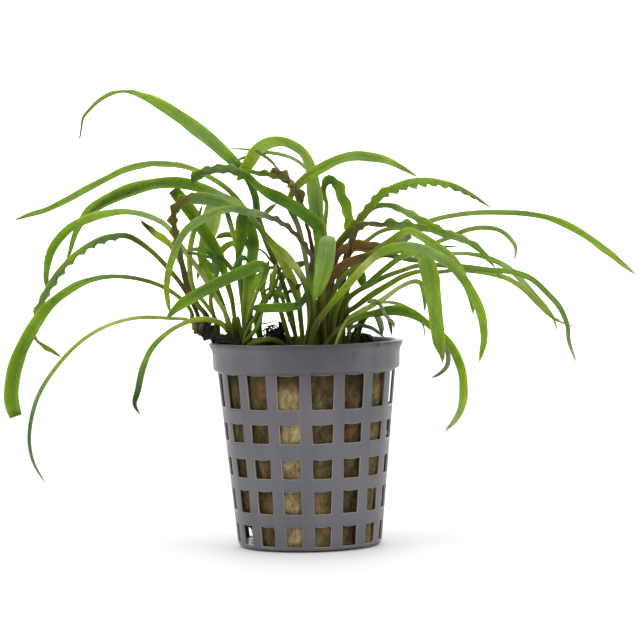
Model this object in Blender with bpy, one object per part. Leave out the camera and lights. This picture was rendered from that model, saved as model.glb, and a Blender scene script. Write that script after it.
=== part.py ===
# Potted cryptocoryne: a rosette of long narrow leaves in a net pot filled with mineral wool.
# Units are metres in Blender. The tables below are in millimetres and are scaled by MM.
# The origin is the centre of the pot's underside, +Z is up, and the plant is widest along X.

import math

import bmesh
import bpy
import numpy as np
from mathutils import Vector

MM = 0.001
GAP = 0.3

# Net pot
RIM_RADIUS = 24.8
RIM_HEIGHT = 52.0
COLLAR_TOP_RADIUS = 24.0
COLLAR_FOOT_RADIUS = 23.7
COLLAR_FOOT = 44.8
COLLAR_STEP = 1.0
LIP_DEPTH = 1.3
BODY_FOOT_RADIUS = 18.3
BODY_FLARE = 0.098
WALL = 1.0
FLOOR = 0.7
FOOT_ROUNDING = 1.2
FOOT_BEND_RADIUS = 18.06
FOOT_BEND_HEIGHT = 0.45
COLUMNS = 16
COLUMN_PITCH = 360.0 / COLUMNS
FIRST_COLUMN = -102.0
SLOT_SPAN_TOP = 15.0
SLOT_SPAN_FOOT = 12.4
SLOT_ROWS = ((1.1, 6.0), (9.4, 15.0), (18.3, 23.0), (27.2, 31.8), (35.7, 44.2))
BASE_SLOT_INNER = 10.0
BASE_SLOT_OUTER = 15.2

# Mineral wool plug
WOOL_TOP = 49.5
WOOL_CLEARANCE = 0.6
WOOL_SIDES = 32
WOOL_HEIGHTS = (8.0, 17.0, 26.0, 35.0, 44.0)
# Rings of the plug's rounded top: distance below WOOL_TOP and radius
WOOL_SHOULDER = ((2.0, 21.6), (0.4, 21.0), (0.15, 12.0))
WOOL_BROAD_SWELL = 0.25
WOOL_NARROW_SWELL = 0.15

# Every leaf is drawn as it is seen from the front, from this point.
EYE = Vector((3.7, -750.0, 89.6))
STALK_LIFT = 0.3
STEM_FOOT = WOOL_TOP + GAP + STALK_LIFT

LEAF_THICKNESS = 0.5
LEAF_CHANNEL = 0.16
STATION_PITCH = 6.0
EXTRA_STATIONS = 4
MIN_STATIONS = 11
MAX_STATIONS = 20
STEPS_BETWEEN_KNOTS = 24
# Share of its first width that a stalk has at the foot
FOOT_TAPER = 0.9
# A narrow leaf is at most this thick for its width, and flat without a channel.
THICKEST_SHARE = 0.55
NARROW_LEAF = 1.5

COLOURS = {
    "green": ((0.16, 0.27, 0.035), 0.42),
    "light": ((0.26, 0.38, 0.06), 0.42),
    "dark": ((0.06, 0.12, 0.02), 0.45),
    "brown": ((0.10, 0.055, 0.025), 0.5),
    "pot": ((0.13, 0.13, 0.15), 0.45),
    "wool": ((0.17, 0.13, 0.06), 0.95),
    "root": ((0.03, 0.018, 0.01), 0.8),
}

# Each leaf: name, tint, foot (x, y, z), turn in degrees at the foot and at the tip, and its
# route from foot to tip. A route point is (x, z, depth, width): x and z where the leaf is seen
# against the upright plane through the pot's axis, the depth behind that plane (negative
# towards the viewer), and the leaf's width there. The turn shows the upper face to the viewer.
LEAVES = (
    ("leaf_01", "green", (-2.4, 4.6, STEM_FOOT), (40, 62), (
        (-4.2, 62.0, 6.5, 1.4), (-7.2, 71.3, 8.5, 1.6), (-9.9, 78.0, 10.5, 1.9),
        (-11.6, 84.0, 12.5, 2.4), (-12.3, 89.4, 14, 2.8), (-14.8, 94.8, 15, 2.7),
        (-20.0, 100.4, 17, 4.4), (-25.0, 105.0, 19, 4.6), (-30.0, 108.9, 21, 4.3),
        (-35.0, 112.4, 23, 3.6), (-40.0, 115.0, 25, 2.5), (-45.0, 116.5, 27, 1.3),
        (-50.0, 115.0, 28, 1.3), (-54.2, 111.5, 29, 1.0), (-55.5, 109.8, 29, 0.8),
        (-56.0, 107.4, 30, 0.6), (-56.6, 104.6, 30, 0.5), (-57.3, 104.1, 30, 0.3))),
    ("leaf_02", "light", (-0.8, 1.8, STEM_FOOT), (40, 60), (
        (-1.4, 59.5, 3, 2.0), (-2.6, 65.6, 4, 3.3), (-5.0, 70.9, 5, 3.4),
        (-8.4, 76.7, 7, 1.9), (-14.3, 85.1, 9, 1.6), (-19.0, 90.8, 11, 1.5),
        (-24.5, 94.6, 12.5, 1.7), (-30.0, 96.9, 14, 2.0), (-38.0, 97.8, 16, 2.2),
        (-45.0, 96.4, 18, 2.3), (-55.0, 91.7, 20, 2.3), (-65.0, 86.8, 22, 1.9),
        (-70.0, 85.4, 23, 1.3), (-74.0, 84.0, 24, 0.3))),
    ("leaf_03", "dark", (0.8, -0.8, STEM_FOOT), (40, 62), (
        (1.0, 60.0, -0.5, 1.7), (-0.1, 66.8, 0, 2.6), (-3.4, 72.3, 1, 2.8),
        (-8.0, 77.2, 2.5, 2.0), (-12.2, 82.0, 4, 1.7), (-16.0, 86.5, 5, 2.6),
        (-20.0, 88.7, 6, 3.1), (-25.0, 91.0, 7, 3.4), (-31.0, 92.8, 8, 3.6),
        (-38.0, 92.6, 9, 3.8), (-45.0, 90.9, 10, 4.1), (-50.0, 88.8, 11, 3.8),
        (-54.9, 85.6, 12, 3.0), (-58.0, 81.0, 12, 2.0), (-59.8, 75.5, 12, 1.0),
        (-60.8, 73.3, 12, 0.3))),
    ("leaf_04", "green", (-18.8, 2.4, 52.6), (45, 62), (
        (-19.9, 58.2, 3, 1.2), (-23.1, 64.0, 4, 1.3), (-26.4, 69.8, 4, 1.4),
        (-31.2, 76.5, 3, 1.5), (-35.0, 82.0, 2, 1.6), (-39.7, 84.6, 1, 1.8),
        (-45.0, 85.7, 0, 2.1), (-50.0, 85.4, -1, 2.4), (-55.0, 84.1, -1.5, 2.7),
        (-59.7, 81.7, -2, 2.8), (-64.3, 76.3, -2.5, 2.6), (-65.9, 70.3, -3, 1.9),
        (-65.5, 65.0, -3, 0.3))),
    ("leaf_05", "dark", (-27.4, 1.0, 58.6), (45, 66), (
        (-30.3, 65.0, 1, 1.3), (-34.4, 70.7, 0.5, 1.3), (-39.8, 76.3, -0.5, 1.4),
        (-45.2, 79.6, -2, 2.0), (-49.8, 79.1, -3.5, 2.4), (-55.0, 77.1, -5.5, 2.3),
        (-60.0, 73.3, -7.5, 2.2), (-65.0, 67.0, -9, 2.3), (-68.3, 60.8, -10, 2.1),
        (-69.3, 56.5, -10.5, 1.2), (-68.6, 53.3, -11, 0.9), (-65.8, 51.2, -11, 1.5),
        (-62.2, 48.8, -11, 0.3))),
    ("leaf_06", "green", (-28.9, -1.4, 59.6), (35, 74), (
        (-31.0, 62.6, -3.5, 1.2), (-36.0, 66.3, -6.5, 1.2), (-43.0, 68.7, -9.5, 1.2),
        (-50.0, 69.3, -12, 1.3), (-55.0, 68.4, -14, 1.9), (-60.0, 66.2, -16, 2.6),
        (-65.6, 61.8, -18, 3.2), (-70.2, 55.6, -19.5, 3.7), (-73.9, 48.0, -21, 4.0),
        (-75.6, 40.0, -22, 4.2), (-75.3, 36.6, -22, 4.1), (-74.5, 34.0, -22, 3.5))),
    ("leaf_07", "green", (-28.0, -4.4, 56.4), (40, 60), (
        (-30.0, 57.8, -6, 1.0), (-34.5, 58.3, -9, 1.0), (-42.0, 58.7, -13, 1.1),
        (-50.0, 57.0, -18, 1.1), (-57.0, 53.2, -22, 1.1), (-64.0, 46.3, -27, 1.1),
        (-69.0, 38.4, -31, 1.1), (-71.2, 29.0, -34, 1.0), (-70.4, 22.5, -36, 0.8),
        (-67.4, 16.7, -37, 0.3))),
    ("leaf_08", "dark", (-18.9, -0.1, 52.9), (45, 62), (
        (-21.1, 56.4, -3.6, 1.7), (-25.2, 57.9, -9, 1.5), (-29.2, 57.6, -13, 1.3),
        (-34.8, 55.0, -18, 1.3), (-39.4, 50.7, -22, 1.6), (-41.7, 46.0, -25, 1.9),
        (-43.2, 40.0, -27, 1.7), (-44.1, 36.6, -27.5, 1.1), (-42.7, 33.7, -28, 0.3))),
    ("leaf_09", "light", (-25.6, 3.2, 58.4), (50, 66), (
        (-28.6, 64.0, 5, 1.1), (-31.0, 71.5, 6, 1.4), (-33.9, 77.0, 6, 2.0),
        (-37.5, 79.8, 6, 2.1), (-39.8, 81.8, 6, 1.4), (-41.9, 83.8, 6, 0.4))),
    ("leaf_10", "brown", (-24.9, -3.6, 58.6), (45, 66), (
        (-27.6, 61.8, -4, 1.6), (-29.8, 66.0, -6, 1.7), (-31.0, 71.0, -8, 1.9),
        (-31.9, 76.0, -10, 2.2), (-33.0, 81.5, -12, 2.6), (-33.0, 85.4, -13, 2.8),
        (-30.3, 88.4, -14, 3.2), (-25.5, 88.7, -15, 3.4), (-20.6, 87.3, -16, 2.8),
        (-16.8, 85.6, -17, 1.9), (-14.0, 84.8, -17, 0.4))),
    ("leaf_11", "green", (2.2, -7.4, STEM_FOOT), (45, 62), (
        (2.4, 60.0, -9, 1.2), (1.4, 68.0, -11, 1.4), (1.9, 73.2, -13, 1.5),
        (0.2, 76.2, -14, 1.5), (-3.5, 80.6, -16, 1.6), (-8.0, 83.4, -19, 1.9),
        (-14.3, 85.1, -22, 2.2), (-19.0, 85.8, -24, 2.3), (-25.0, 83.8, -27, 2.4),
        (-30.0, 80.5, -30, 2.4), (-33.5, 74.0, -32, 2.1), (-35.2, 67.0, -34, 1.7),
        (-35.0, 62.5, -34, 1.2), (-34.3, 59.0, -34, 0.3))),
    ("leaf_12", "light", (-15.6, -0.5, 52.9), (50, 64), (
        (-14.2, 59.5, -5, 1.0), (-13.0, 62.5, -8.5, 1.0), (-12.0, 65.3, -13, 1.0),
        (-10.6, 68.4, -18, 1.1), (-9.7, 70.4, -23, 2.2), (-11.6, 71.2, -28, 3.4),
        (-15.5, 69.9, -32, 3.3), (-20.5, 67.8, -36, 3.4), (-26.5, 64.8, -40, 3.3),
        (-32.3, 61.3, -43, 2.4), (-35.8, 58.0, -45, 0.4))),
    ("leaf_13", "dark", (-16.6, 3.6, 52.6), (45, 66), (
        (-18.0, 58.0, 5, 1.2), (-18.7, 63.0, 6, 1.4), (-20.3, 69.0, 7.5, 2.4),
        (-22.0, 74.5, 9, 3.2), (-25.0, 79.6, 10.5, 3.7), (-28.4, 85.0, 12, 3.8),
        (-31.5, 89.2, 13, 3.6), (-33.0, 91.2, 13, 3.2))),
    ("leaf_14", "green", (3.6, 4.2, STEM_FOOT), (60, 64), (
        (3.8, 62.0, 4.5, 1.6), (4.0, 74.0, 5.5, 2.8), (3.4, 84.0, 6.5, 4.0),
        (2.9, 90.0, 7, 4.4), (2.0, 96.0, 7, 3.2), (0.0, 100.0, 6, 2.7),
        (-4.5, 102.7, 5, 2.8), (-8.2, 102.6, 4, 3.6), (-11.3, 100.6, 3, 3.9),
        (-13.8, 97.2, 2, 3.5), (-15.4, 94.6, 1.5, 3.0), (-16.8, 92.9, 1.5, 0.5))),
    ("leaf_15", "brown", (2.4, 2.2, STEM_FOOT), (45, 60), (
        (2.3, 62.0, 1.8, 1.1), (1.9, 71.0, 1, 1.2), (2.1, 75.0, 1.2, 1.2),
        (1.2, 80.0, 1.5, 1.2), (-0.2, 85.7, 2, 1.4), (-1.8, 89.7, 1.8, 1.9),
        (-4.0, 92.9, 1.5, 2.1), (-7.5, 94.3, 1, 2.1), (-11.3, 94.9, 0, 1.6),
        (-15.0, 95.3, -1, 0.4))),
    ("leaf_16", "dark", (5.0, -2.6, STEM_FOOT), (55, 66), (
        (5.6, 62.0, -2.5, 1.5), (6.0, 71.0, -3, 2.0), (5.0, 77.5, -5, 2.8),
        (3.6, 81.1, -7, 3.8), (-0.6, 84.9, -8, 3.8), (-4.5, 87.5, -8.5, 3.5),
        (-8.0, 89.4, -8.5, 3.3), (-11.5, 91.6, -8, 2.3), (-14.3, 94.2, -8, 2.2),
        (-18.4, 96.0, -8, 2.6), (-23.0, 96.0, -8, 2.4), (-26.3, 95.2, -8, 1.8),
        (-27.9, 93.6, -8, 1.0), (-27.7, 92.4, -8, 0.3))),
    ("leaf_17", "green", (0.4, -3.2, STEM_FOOT), (45, 64), (
        (1.3, 63.0, -2.8, 1.3), (0.9, 69.0, -2.8, 1.4), (0.0, 75.0, -3, 1.5),
        (-1.6, 81.7, -3, 1.7), (-3.5, 86.5, -3, 1.7), (-2.4, 90.2, -2.8, 2.4),
        (0.4, 93.1, -2.5, 2.8), (5.2, 96.0, -2, 3.1), (9.1, 97.8, -1, 3.1),
        (14.0, 98.7, 1, 3.0), (20.8, 97.6, 4, 2.5), (25.0, 95.7, 6, 1.6),
        (29.6, 92.9, 8, 0.3))),
    ("leaf_18", "green", (4.9, -6.0, STEM_FOOT), (0, 0), (
        (4.5, 59.0, -8.2, 1.3), (4.6, 66.0, -10.5, 1.6), (5.5, 74.0, -12, 2.4),
        (6.0, 78.2, -14.8, 3.0), (6.0, 77.2, -17.2, 4.2), (5.3, 72.0, -20, 4.7),
        (4.4, 68.4, -21, 4.1), (3.4, 65.0, -22, 2.8), (2.1, 61.9, -22, 0.4))),
    ("leaf_19", "green", (4.6, 10.0, STEM_FOOT), (45, 64), (
        (4.8, 64.0, 11, 1.1), (5.0, 74.0, 12, 1.3), (5.4, 81.5, 13, 1.3),
        (6.0, 86.5, 14, 1.3), (5.2, 90.6, 15, 1.9), (7.2, 92.9, 16, 3.0),
        (9.2, 90.6, 17, 3.3), (10.5, 86.9, 17.5, 3.3), (11.5, 83.9, 18, 3.1),
        (11.5, 80.9, 18.5, 2.8), (11.3, 77.5, 19, 0.6))),
    ("leaf_20", "green", (2.4, 7.0, STEM_FOOT), (45, 66), (
        (4.6, 62.0, 7, 1.4), (6.4, 69.0, 7, 1.7), (8.4, 75.6, 6.5, 2.2),
        (11.5, 79.3, 6, 2.8), (14.2, 82.4, 6, 2.7), (16.3, 84.9, 6.5, 2.5),
        (18.1, 87.0, 7, 2.6), (20.2, 89.0, 8, 2.8), (22.8, 90.1, 9, 2.8),
        (26.6, 91.3, 11, 2.8), (31.5, 91.9, 13, 2.5), (37.0, 91.0, 15, 2.1),
        (42.0, 88.7, 17, 1.5), (45.5, 86.5, 18.5, 0.9), (48.3, 84.4, 19, 0.3))),
    ("leaf_21", "dark", (7.2, 4.8, STEM_FOOT), (45, 66), (
        (8.6, 62.0, 7, 1.2), (10.2, 72.0, 9, 1.3), (12.6, 78.6, 10, 1.4),
        (15.4, 83.4, 10.5, 1.5), (18.4, 85.7, 10.5, 1.6), (21.8, 86.0, 9.5, 1.8),
        (24.8, 84.9, 8, 2.1), (27.8, 83.4, 6, 2.4), (31.2, 81.1, 4, 2.8),
        (35.2, 78.8, 2, 2.8), (38.8, 77.6, 0.5, 2.4), (42.1, 76.2, -1, 2.0),
        (44.9, 74.2, -2, 1.8), (47.0, 71.6, -3, 1.3), (48.9, 69.3, -4, 0.3))),
    ("leaf_22", "brown", (8.4, 2.2, STEM_FOOT), (45, 66), (
        (9.4, 62.0, 2.8, 1.1), (10.6, 70.0, 2.4, 1.2), (12.2, 76.5, 1.6, 1.4),
        (13.8, 80.2, 1, 1.8), (16.0, 81.5, 0, 2.3), (18.4, 81.2, -0.5, 1.3),
        (21.5, 81.3, -1, 2.7), (25.0, 81.1, -1.5, 2.5), (28.5, 80.6, -2, 1.8),
        (33.0, 79.8, -2, 0.4))),
    ("leaf_23", "light", (4.8, 0.6, STEM_FOOT), (45, 62), (
        (6.4, 60.0, 0.5, 1.2), (8.2, 66.0, 0.8, 1.4), (10.2, 68.4, 0.5, 1.5),
        (12.3, 70.0, 0.6, 1.6), (15.3, 72.4, 1.4, 1.6), (20.0, 75.8, 3, 1.7),
        (24.0, 78.2, 5.5, 1.8), (28.0, 80.1, 9, 1.8), (32.0, 81.7, 13, 1.6),
        (36.4, 82.8, 16, 1.4), (43.0, 83.6, 19, 1.5), (51.0, 83.6, 23, 1.6),
        (57.0, 83.1, 26, 1.8), (63.0, 81.8, 29, 2.1), (68.0, 79.6, 31, 2.3),
        (73.0, 76.4, 33, 2.4), (78.0, 72.5, 35, 2.2), (82.0, 69.1, 36, 1.3),
        (84.8, 66.8, 37, 0.3))),
    ("leaf_24", "brown", (2.6, -4.0, STEM_FOOT), (50, 64), (
        (2.4, 58.0, -5, 1.8), (4.1, 62.6, -6, 2.2), (6.7, 67.6, -6, 2.8),
        (9.2, 70.5, -5.5, 2.9), (13.0, 72.2, -4, 2.6), (18.0, 73.6, -2, 2.1),
        (24.0, 74.4, 0, 1.7), (30.0, 75.0, 1, 1.3), (35.0, 75.2, 2, 0.8),
        (39.4, 75.2, 3, 0.3))),
    ("leaf_25", "brown", (6.2, 2.6, STEM_FOOT), (50, 66), (
        (6.6, 62.0, 3.4, 1.2), (7.4, 69.0, 4, 1.4), (8.6, 73.6, 4.2, 1.8),
        (10.6, 75.2, 4.4, 2.8), (13.5, 75.8, 5, 3.4), (17.0, 75.5, 5.5, 3.2),
        (20.5, 75.4, 7.5, 2.4), (24.0, 76.5, 9.5, 1.9), (26.4, 77.7, 10, 2.1),
        (27.4, 78.2, 10, 1.2))),
    ("leaf_26", "green", (0.8, -9.8, STEM_FOOT), (45, 64), (
        (3.0, 56.3, -10.5, 2.0), (5.0, 59.1, -11.5, 2.1), (7.4, 62.1, -12.5, 2.2),
        (10.2, 65.1, -13.5, 2.3), (13.0, 68.1, -15, 2.4), (16.2, 71.2, -17, 2.4),
        (19.5, 74.0, -19, 2.3), (24.0, 75.4, -22, 2.6), (29.5, 75.0, -25, 2.7),
        (33.6, 73.0, -28, 2.8), (37.6, 70.2, -30, 2.8), (41.0, 66.0, -32, 2.9),
        (43.7, 61.0, -34, 2.7), (45.2, 56.0, -35, 2.5), (45.4, 51.0, -36, 2.1),
        (44.1, 45.4, -36, 0.3))),
    ("leaf_27", "light", (6.6, -3.8, STEM_FOOT), (50, 64), (
        (8.0, 60.0, -5.5, 1.4), (11.0, 66.0, -7, 1.6), (15.5, 71.2, -9, 1.7),
        (20.0, 75.0, -11, 1.8), (24.0, 78.2, -13, 2.0), (27.0, 79.3, -14, 2.3),
        (30.0, 77.9, -15, 2.6), (33.0, 75.9, -16, 2.5), (36.0, 73.6, -17, 2.5),
        (38.6, 70.8, -18, 2.5), (40.8, 66.5, -19, 2.4), (42.3, 62.0, -20, 1.7),
        (42.9, 57.3, -20, 0.3))),
    ("leaf_28", "green", (8.0, -1.6, STEM_FOOT), (50, 74), (
        (9.0, 59.2, -2.5, 1.3), (11.0, 62.6, -4, 1.3), (15.0, 65.3, -6, 1.4),
        (20.0, 69.4, -9, 1.5), (24.5, 72.6, -12, 1.8), (28.0, 74.0, -14.5, 2.8),
        (30.6, 72.8, -16.5, 4.2), (31.6, 69.5, -18, 4.9), (32.3, 65.8, -19, 4.9),
        (33.0, 60.5, -20, 4.2), (33.5, 55.0, -21, 3.7), (34.0, 50.5, -22, 3.1),
        (34.7, 47.6, -22, 1.5), (34.7, 45.4, -22, 0.3))),
    ("leaf_29", "light", (8.4, -6.4, STEM_FOOT), (45, 60), (
        (10.6, 56.8, -7.5, 1.3), (16.1, 60.0, -9, 1.4), (20.2, 62.3, -10, 1.4),
        (24.3, 65.1, -11, 1.2), (28.0, 66.5, -12, 1.3), (29.6, 66.0, -12.5, 1.4),
        (30.2, 63.5, -13, 1.2), (30.5, 60.8, -13, 0.9), (30.4, 58.2, -13, 0.3))),
    ("leaf_30", "light", (9.2, 8.4, STEM_FOOT), (45, 62), (
        (10.2, 64.8, 10, 1.0), (13.0, 68.1, 11, 1.1), (16.2, 71.2, 12, 1.2),
        (20.0, 73.3, 12.5, 1.4), (23.5, 72.9, 12.5, 1.7), (28.3, 71.9, 12.5, 1.6),
        (33.5, 72.6, 12.5, 1.3), (38.7, 73.4, 13, 1.1), (43.5, 73.0, 14, 1.2),
        (48.0, 71.6, 14.5, 1.6), (52.2, 69.3, 15, 1.9), (55.5, 65.9, 15.5, 1.9),
        (58.8, 62.0, 16, 1.7), (61.7, 58.6, 16.5, 1.3), (63.4, 56.0, 17, 0.9),
        (64.2, 52.8, 17, 0.3))),
    ("leaf_31", "light", (9.4, -1.0, STEM_FOOT), (45, 60), (
        (10.4, 58.6, -0.8, 1.6), (13.0, 60.4, -1, 1.9), (17.1, 63.3, -1.2, 2.0),
        (21.2, 65.7, -2, 1.8), (25.0, 67.8, -2.5, 1.6), (29.5, 69.0, -2.5, 1.2),
        (34.0, 68.7, -1, 1.1), (38.0, 69.1, 0.5, 1.2), (43.0, 68.8, 2, 1.3),
        (48.0, 67.9, 3, 1.4), (52.0, 66.6, 4, 1.5), (56.0, 63.8, 5, 1.5),
        (59.5, 60.0, 6, 1.5), (62.5, 57.0, 7, 1.1), (65.5, 55.2, 8, 0.6),
        (69.0, 54.1, 9, 0.3))),
    ("leaf_32", "dark", (9.8, 3.6, STEM_FOOT), (45, 60), (
        (10.4, 60.8, 3.6, 1.0), (13.0, 63.9, 3.4, 1.2), (16.5, 65.7, 3, 1.3),
        (20.4, 67.8, 2.5, 1.4), (24.5, 69.2, 1.5, 1.3), (29.0, 70.5, 0, 1.3),
        (34.5, 70.5, -2, 1.4), (40.8, 69.9, -4, 1.6), (47.1, 69.0, -6, 1.6),
        (53.4, 68.3, -8, 1.7), (57.7, 66.6, -9, 1.8), (61.7, 62.9, -10, 1.8),
        (64.8, 59.3, -11, 1.6), (66.8, 54.5, -12, 1.3), (67.1, 50.5, -12, 1.1),
        (69.0, 44.7, -13, 0.3))),
    ("leaf_33", "light", (6.8, 8.6, STEM_FOOT), (45, 60), (
        (8.4, 62.8, 12, 1.0), (13.0, 68.0, 14.5, 1.0), (19.5, 73.8, 17, 1.0),
        (24.0, 75.3, 18.5, 1.0), (28.0, 74.9, 19.5, 1.0), (32.0, 75.8, 20, 1.1),
        (36.0, 77.1, 21, 1.3), (42.0, 79.4, 22, 1.4), (46.5, 79.8, 23, 1.4),
        (50.0, 79.0, 24, 1.3), (52.5, 77.0, 25, 1.3), (54.0, 74.4, 26, 1.1),
        (53.4, 70.9, 26, 0.3))),
    ("leaf_34", "dark", (4.6, -10.4, STEM_FOOT), (45, 66), (
        (7.4, 53.6, -10.6, 1.5), (10.2, 55.8, -10.8, 1.7), (13.5, 57.4, -11.2, 1.9), (17.2, 58.6, -12, 2.0),
        (21.6, 59.3, -13, 2.6), (25.5, 59.0, -14, 2.8), (29.0, 57.2, -15, 2.5),
        (33.0, 54.0, -16, 2.1), (36.5, 50.5, -17, 2.3), (38.8, 46.0, -18, 2.5),
        (40.0, 40.5, -19, 2.5), (39.6, 35.0, -20, 2.2), (38.0, 31.3, -20.5, 1.6),
        (34.9, 27.8, -21, 0.3))),
    ("leaf_35", "dark", (11.0, -4.4, STEM_FOOT), (45, 62), (
        (14.6, 57.2, -5.5, 1.0), (19.0, 58.3, -6.5, 1.2), (24.0, 58.3, -7.5, 1.2),
        (28.5, 57.0, -8.5, 1.3), (32.0, 54.5, -9.5, 1.2), (35.0, 51.3, -10.5, 1.2),
        (36.2, 47.8, -11, 1.3), (35.9, 44.8, -11.5, 1.2), (34.0, 42.8, -12, 0.9),
        (31.5, 41.6, -12, 0.3))),
    ("leaf_36", "light", (10.6, 1.6, STEM_FOOT), (45, 60), (
        (13.0, 58.4, 1.8, 0.9), (18.0, 61.0, 2, 0.9), (21.5, 61.3, 2, 0.9),
        (24.9, 60.4, 1.5, 1.0), (28.3, 58.0, 1, 1.0), (30.0, 55.2, 0.5, 0.5),
        (30.5, 51.2, 0, 0.3))),
    ("leaf_37", "light", (5.6, 6.6, STEM_FOOT), (45, 60), (
        (7.6, 64.0, 9, 1.0), (9.6, 70.0, 11.5, 1.1), (12.4, 74.6, 13, 1.1),
        (16.5, 77.4, 14, 1.2), (19.2, 79.2, 14.5, 1.2), (23.0, 80.2, 15, 1.3),
        (28.0, 79.9, 16, 1.4), (32.0, 79.4, 17, 1.1), (35.0, 78.4, 17, 0.3))),
    ("leaf_38", "dark", (11.4, 6.0, STEM_FOOT), (50, 64), (
        (10.6, 61.0, 6.2, 1.2), (11.0, 65.4, 6, 1.5), (12.4, 68.8, 6, 2.3),
        (13.9, 69.1, 6, 2.8), (14.6, 67.0, 6, 2.6), (15.1, 64.6, 6, 0.5))),
    ("leaf_39", "dark", (10.6, -8.6, STEM_FOOT), (45, 60), (
        (11.4, 54.8, -8.6, 1.0), (14.0, 55.5, -8.6, 1.1), (16.6, 54.9, -8.6, 1.1),
        (18.6, 53.6, -8.6, 0.9), (20.4, 52.0, -8.4, 0.3))),
    ("leaf_40", "dark", (7.2, -11.6, STEM_FOOT), (45, 60), (
        (10.6, 56.9, -13, 0.9), (13.4, 58.4, -14, 0.9), (16.1, 60.1, -15, 0.9),
        (17.9, 61.4, -16, 1.0), (18.9, 61.0, -16.5, 1.0), (19.9, 59.0, -17.5, 1.0),
        (21.2, 57.1, -18.5, 1.0), (22.4, 55.9, -19, 0.9), (22.5, 54.2, -19, 0.4))),
    ("leaf_41", "dark", (12.8, -1.6, STEM_FOOT), (45, 60), (
        (15.5, 57.4, -1.5, 0.9), (19.0, 58.9, -1, 1.0), (21.0, 57.4, -0.5, 1.1),
        (21.7, 55.0, 0, 1.0), (21.9, 52.6, 0, 0.5))),
    ("leaf_42", "light", (12.6, 1.6, STEM_FOOT), (60, 70), (
        (14.8, 57.2, 5, 1.1), (17.2, 58.7, 7, 1.3), (18.7, 57.0, 8, 1.8),
        (19.3, 54.8, 8.5, 1.6), (19.6, 52.8, 8.5, 0.5))),
    ("leaf_43", "dark", (-10.8, -0.4, STEM_FOOT), (50, 64), (
        (-12.0, 54.6, -0.6, 2.4), (-11.9, 58.4, -1.2, 2.6), (-10.6, 62.0, -2.2, 1.8),
        (-8.0, 64.4, -3.2, 1.8), (-6.0, 63.8, -4.2, 1.6), (-4.4, 62.2, -5, 0.5))),
    ("leaf_44", "light", (-0.4, -5.6, STEM_FOOT), (50, 66), (
        (1.4, 58.0, -6.5, 1.3), (1.7, 62.4, -7.5, 1.4), (1.1, 65.4, -9, 1.4),
        (0.2, 63.4, -10.5, 1.7), (-1.4, 61.2, -11.5, 2.3), (-4.0, 60.6, -12, 2.5),
        (-8.0, 60.5, -13, 2.5), (-12.2, 60.5, -14, 2.2), (-13.4, 60.5, -14.3, 0.9))),
    ("leaf_45", "dark", (-15.8, 1.8, 52.6), (50, 66), (
        (-15.9, 60.0, 1, 1.2), (-16.5, 67.0, 0.5, 1.3), (-16.9, 72.8, 0, 1.4),
        (-16.2, 76.6, -0.5, 3.0), (-15.7, 80.5, -1, 3.9), (-15.4, 84.2, -2, 3.0), (-15.3, 85.8, -2, 0.5))),
    ("leaf_46", "light", (-22.4, -0.4, 56.8), (45, 62), (
        (-25.2, 61.5, -0.5, 1.1), (-28.5, 66.0, -1.5, 1.4), (-29.2, 71.0, -2, 1.5),
        (-29.0, 76.0, -2, 1.6), (-27.6, 81.5, -2, 1.4), (-25.5, 87.5, -2, 0.4))),
    ("leaf_47", "brown", (-22.6, -4.2, 56.2), (45, 62), (
        (-24.1, 63.0, -6, 1.2), (-22.6, 68.4, -7, 1.3), (-23.0, 73.2, -9, 1.4),
        (-24.3, 75.0, -10, 1.4), (-26.1, 75.7, -11, 1.3), (-28.2, 75.8, -12, 1.0),
        (-30.4, 75.7, -13, 0.4))),
    ("leaf_48", "dark", (-5.2, -1.8, STEM_FOOT + 0.2), (45, 60), (
        (-7.8, 52.1, -2.6, 1.5), (-10.4, 52.4, -3.6, 1.6), (-12.9, 51.9, -4.8, 1.5),
        (-15.6, 50.9, -6, 0.4))),
    ("leaf_49", "light", (0.0, 7.8, STEM_FOOT), (45, 60), (
        (2.4, 62.0, 9.5, 1.0), (3.0, 74.0, 10.5, 1.0), (3.2, 86.0, 11, 1.0),
        (2.4, 93.5, 11, 1.0), (-0.6, 97.3, 11, 1.0), (-4.3, 99.2, 12, 1.1),
        (-9.9, 100.3, 13, 1.0), (-13.6, 100.9, 14, 0.7), (-18.9, 101.3, 15, 0.3))),
    ("leaf_50", "green", (-14.3, 0.6, 53.0), (60, 60), (
        (-15.3, 57.6, -0.8, 1.7), (-14.6, 61.8, -1.5, 3.2), (-14.2, 66.1, -1, 3.7),
        (-13.4, 72.5, 1.5, 3.3), (-12.9, 77.6, 4.5, 3.3), (-13.3, 81.0, 6.5, 2.7),
        (-14.6, 84.0, 7, 0.5))),
    ("leaf_51", "light", (-19.4, 4.2, 52.6), (50, 66), (
        (-20.6, 60.0, 7, 1.3), (-23.2, 67.0, 9.5, 1.8), (-26.0, 73.4, 12, 2.8),
        (-25.2, 77.0, 14, 3.9), (-24.0, 80.6, 15.5, 4.8), (-23.3, 84.2, 16.5, 5.2),
        (-22.9, 87.0, 17, 3.6), (-22.7, 89.2, 17, 0.5))),
    ("leaf_52", "light", (-14.6, 4.2, 52.6), (50, 60), (
        (-15.6, 62.0, 7, 1.2), (-16.3, 70.0, 9, 1.3), (-16.6, 74.6, 11, 1.6),
        (-17.7, 77.0, 12, 2.0), (-19.6, 76.6, 12.5, 2.2), (-21.3, 75.0, 13, 2.2),
        (-22.8, 73.0, 13.5, 1.6), (-23.8, 71.4, 14, 0.5))),
    ("leaf_53", "light", (-15.6, 4.6, 52.6), (45, 60), (
        (-16.0, 62.0, 3, 1.1), (-16.5, 70.0, 3, 1.2), (-16.8, 75.4, 3, 1.3),
        (-17.6, 78.3, 3, 1.4), (-18.4, 81.2, 3, 1.4), (-19.2, 84.2, 3, 1.4),
        (-20.4, 87.6, 2, 0.5))),
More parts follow.
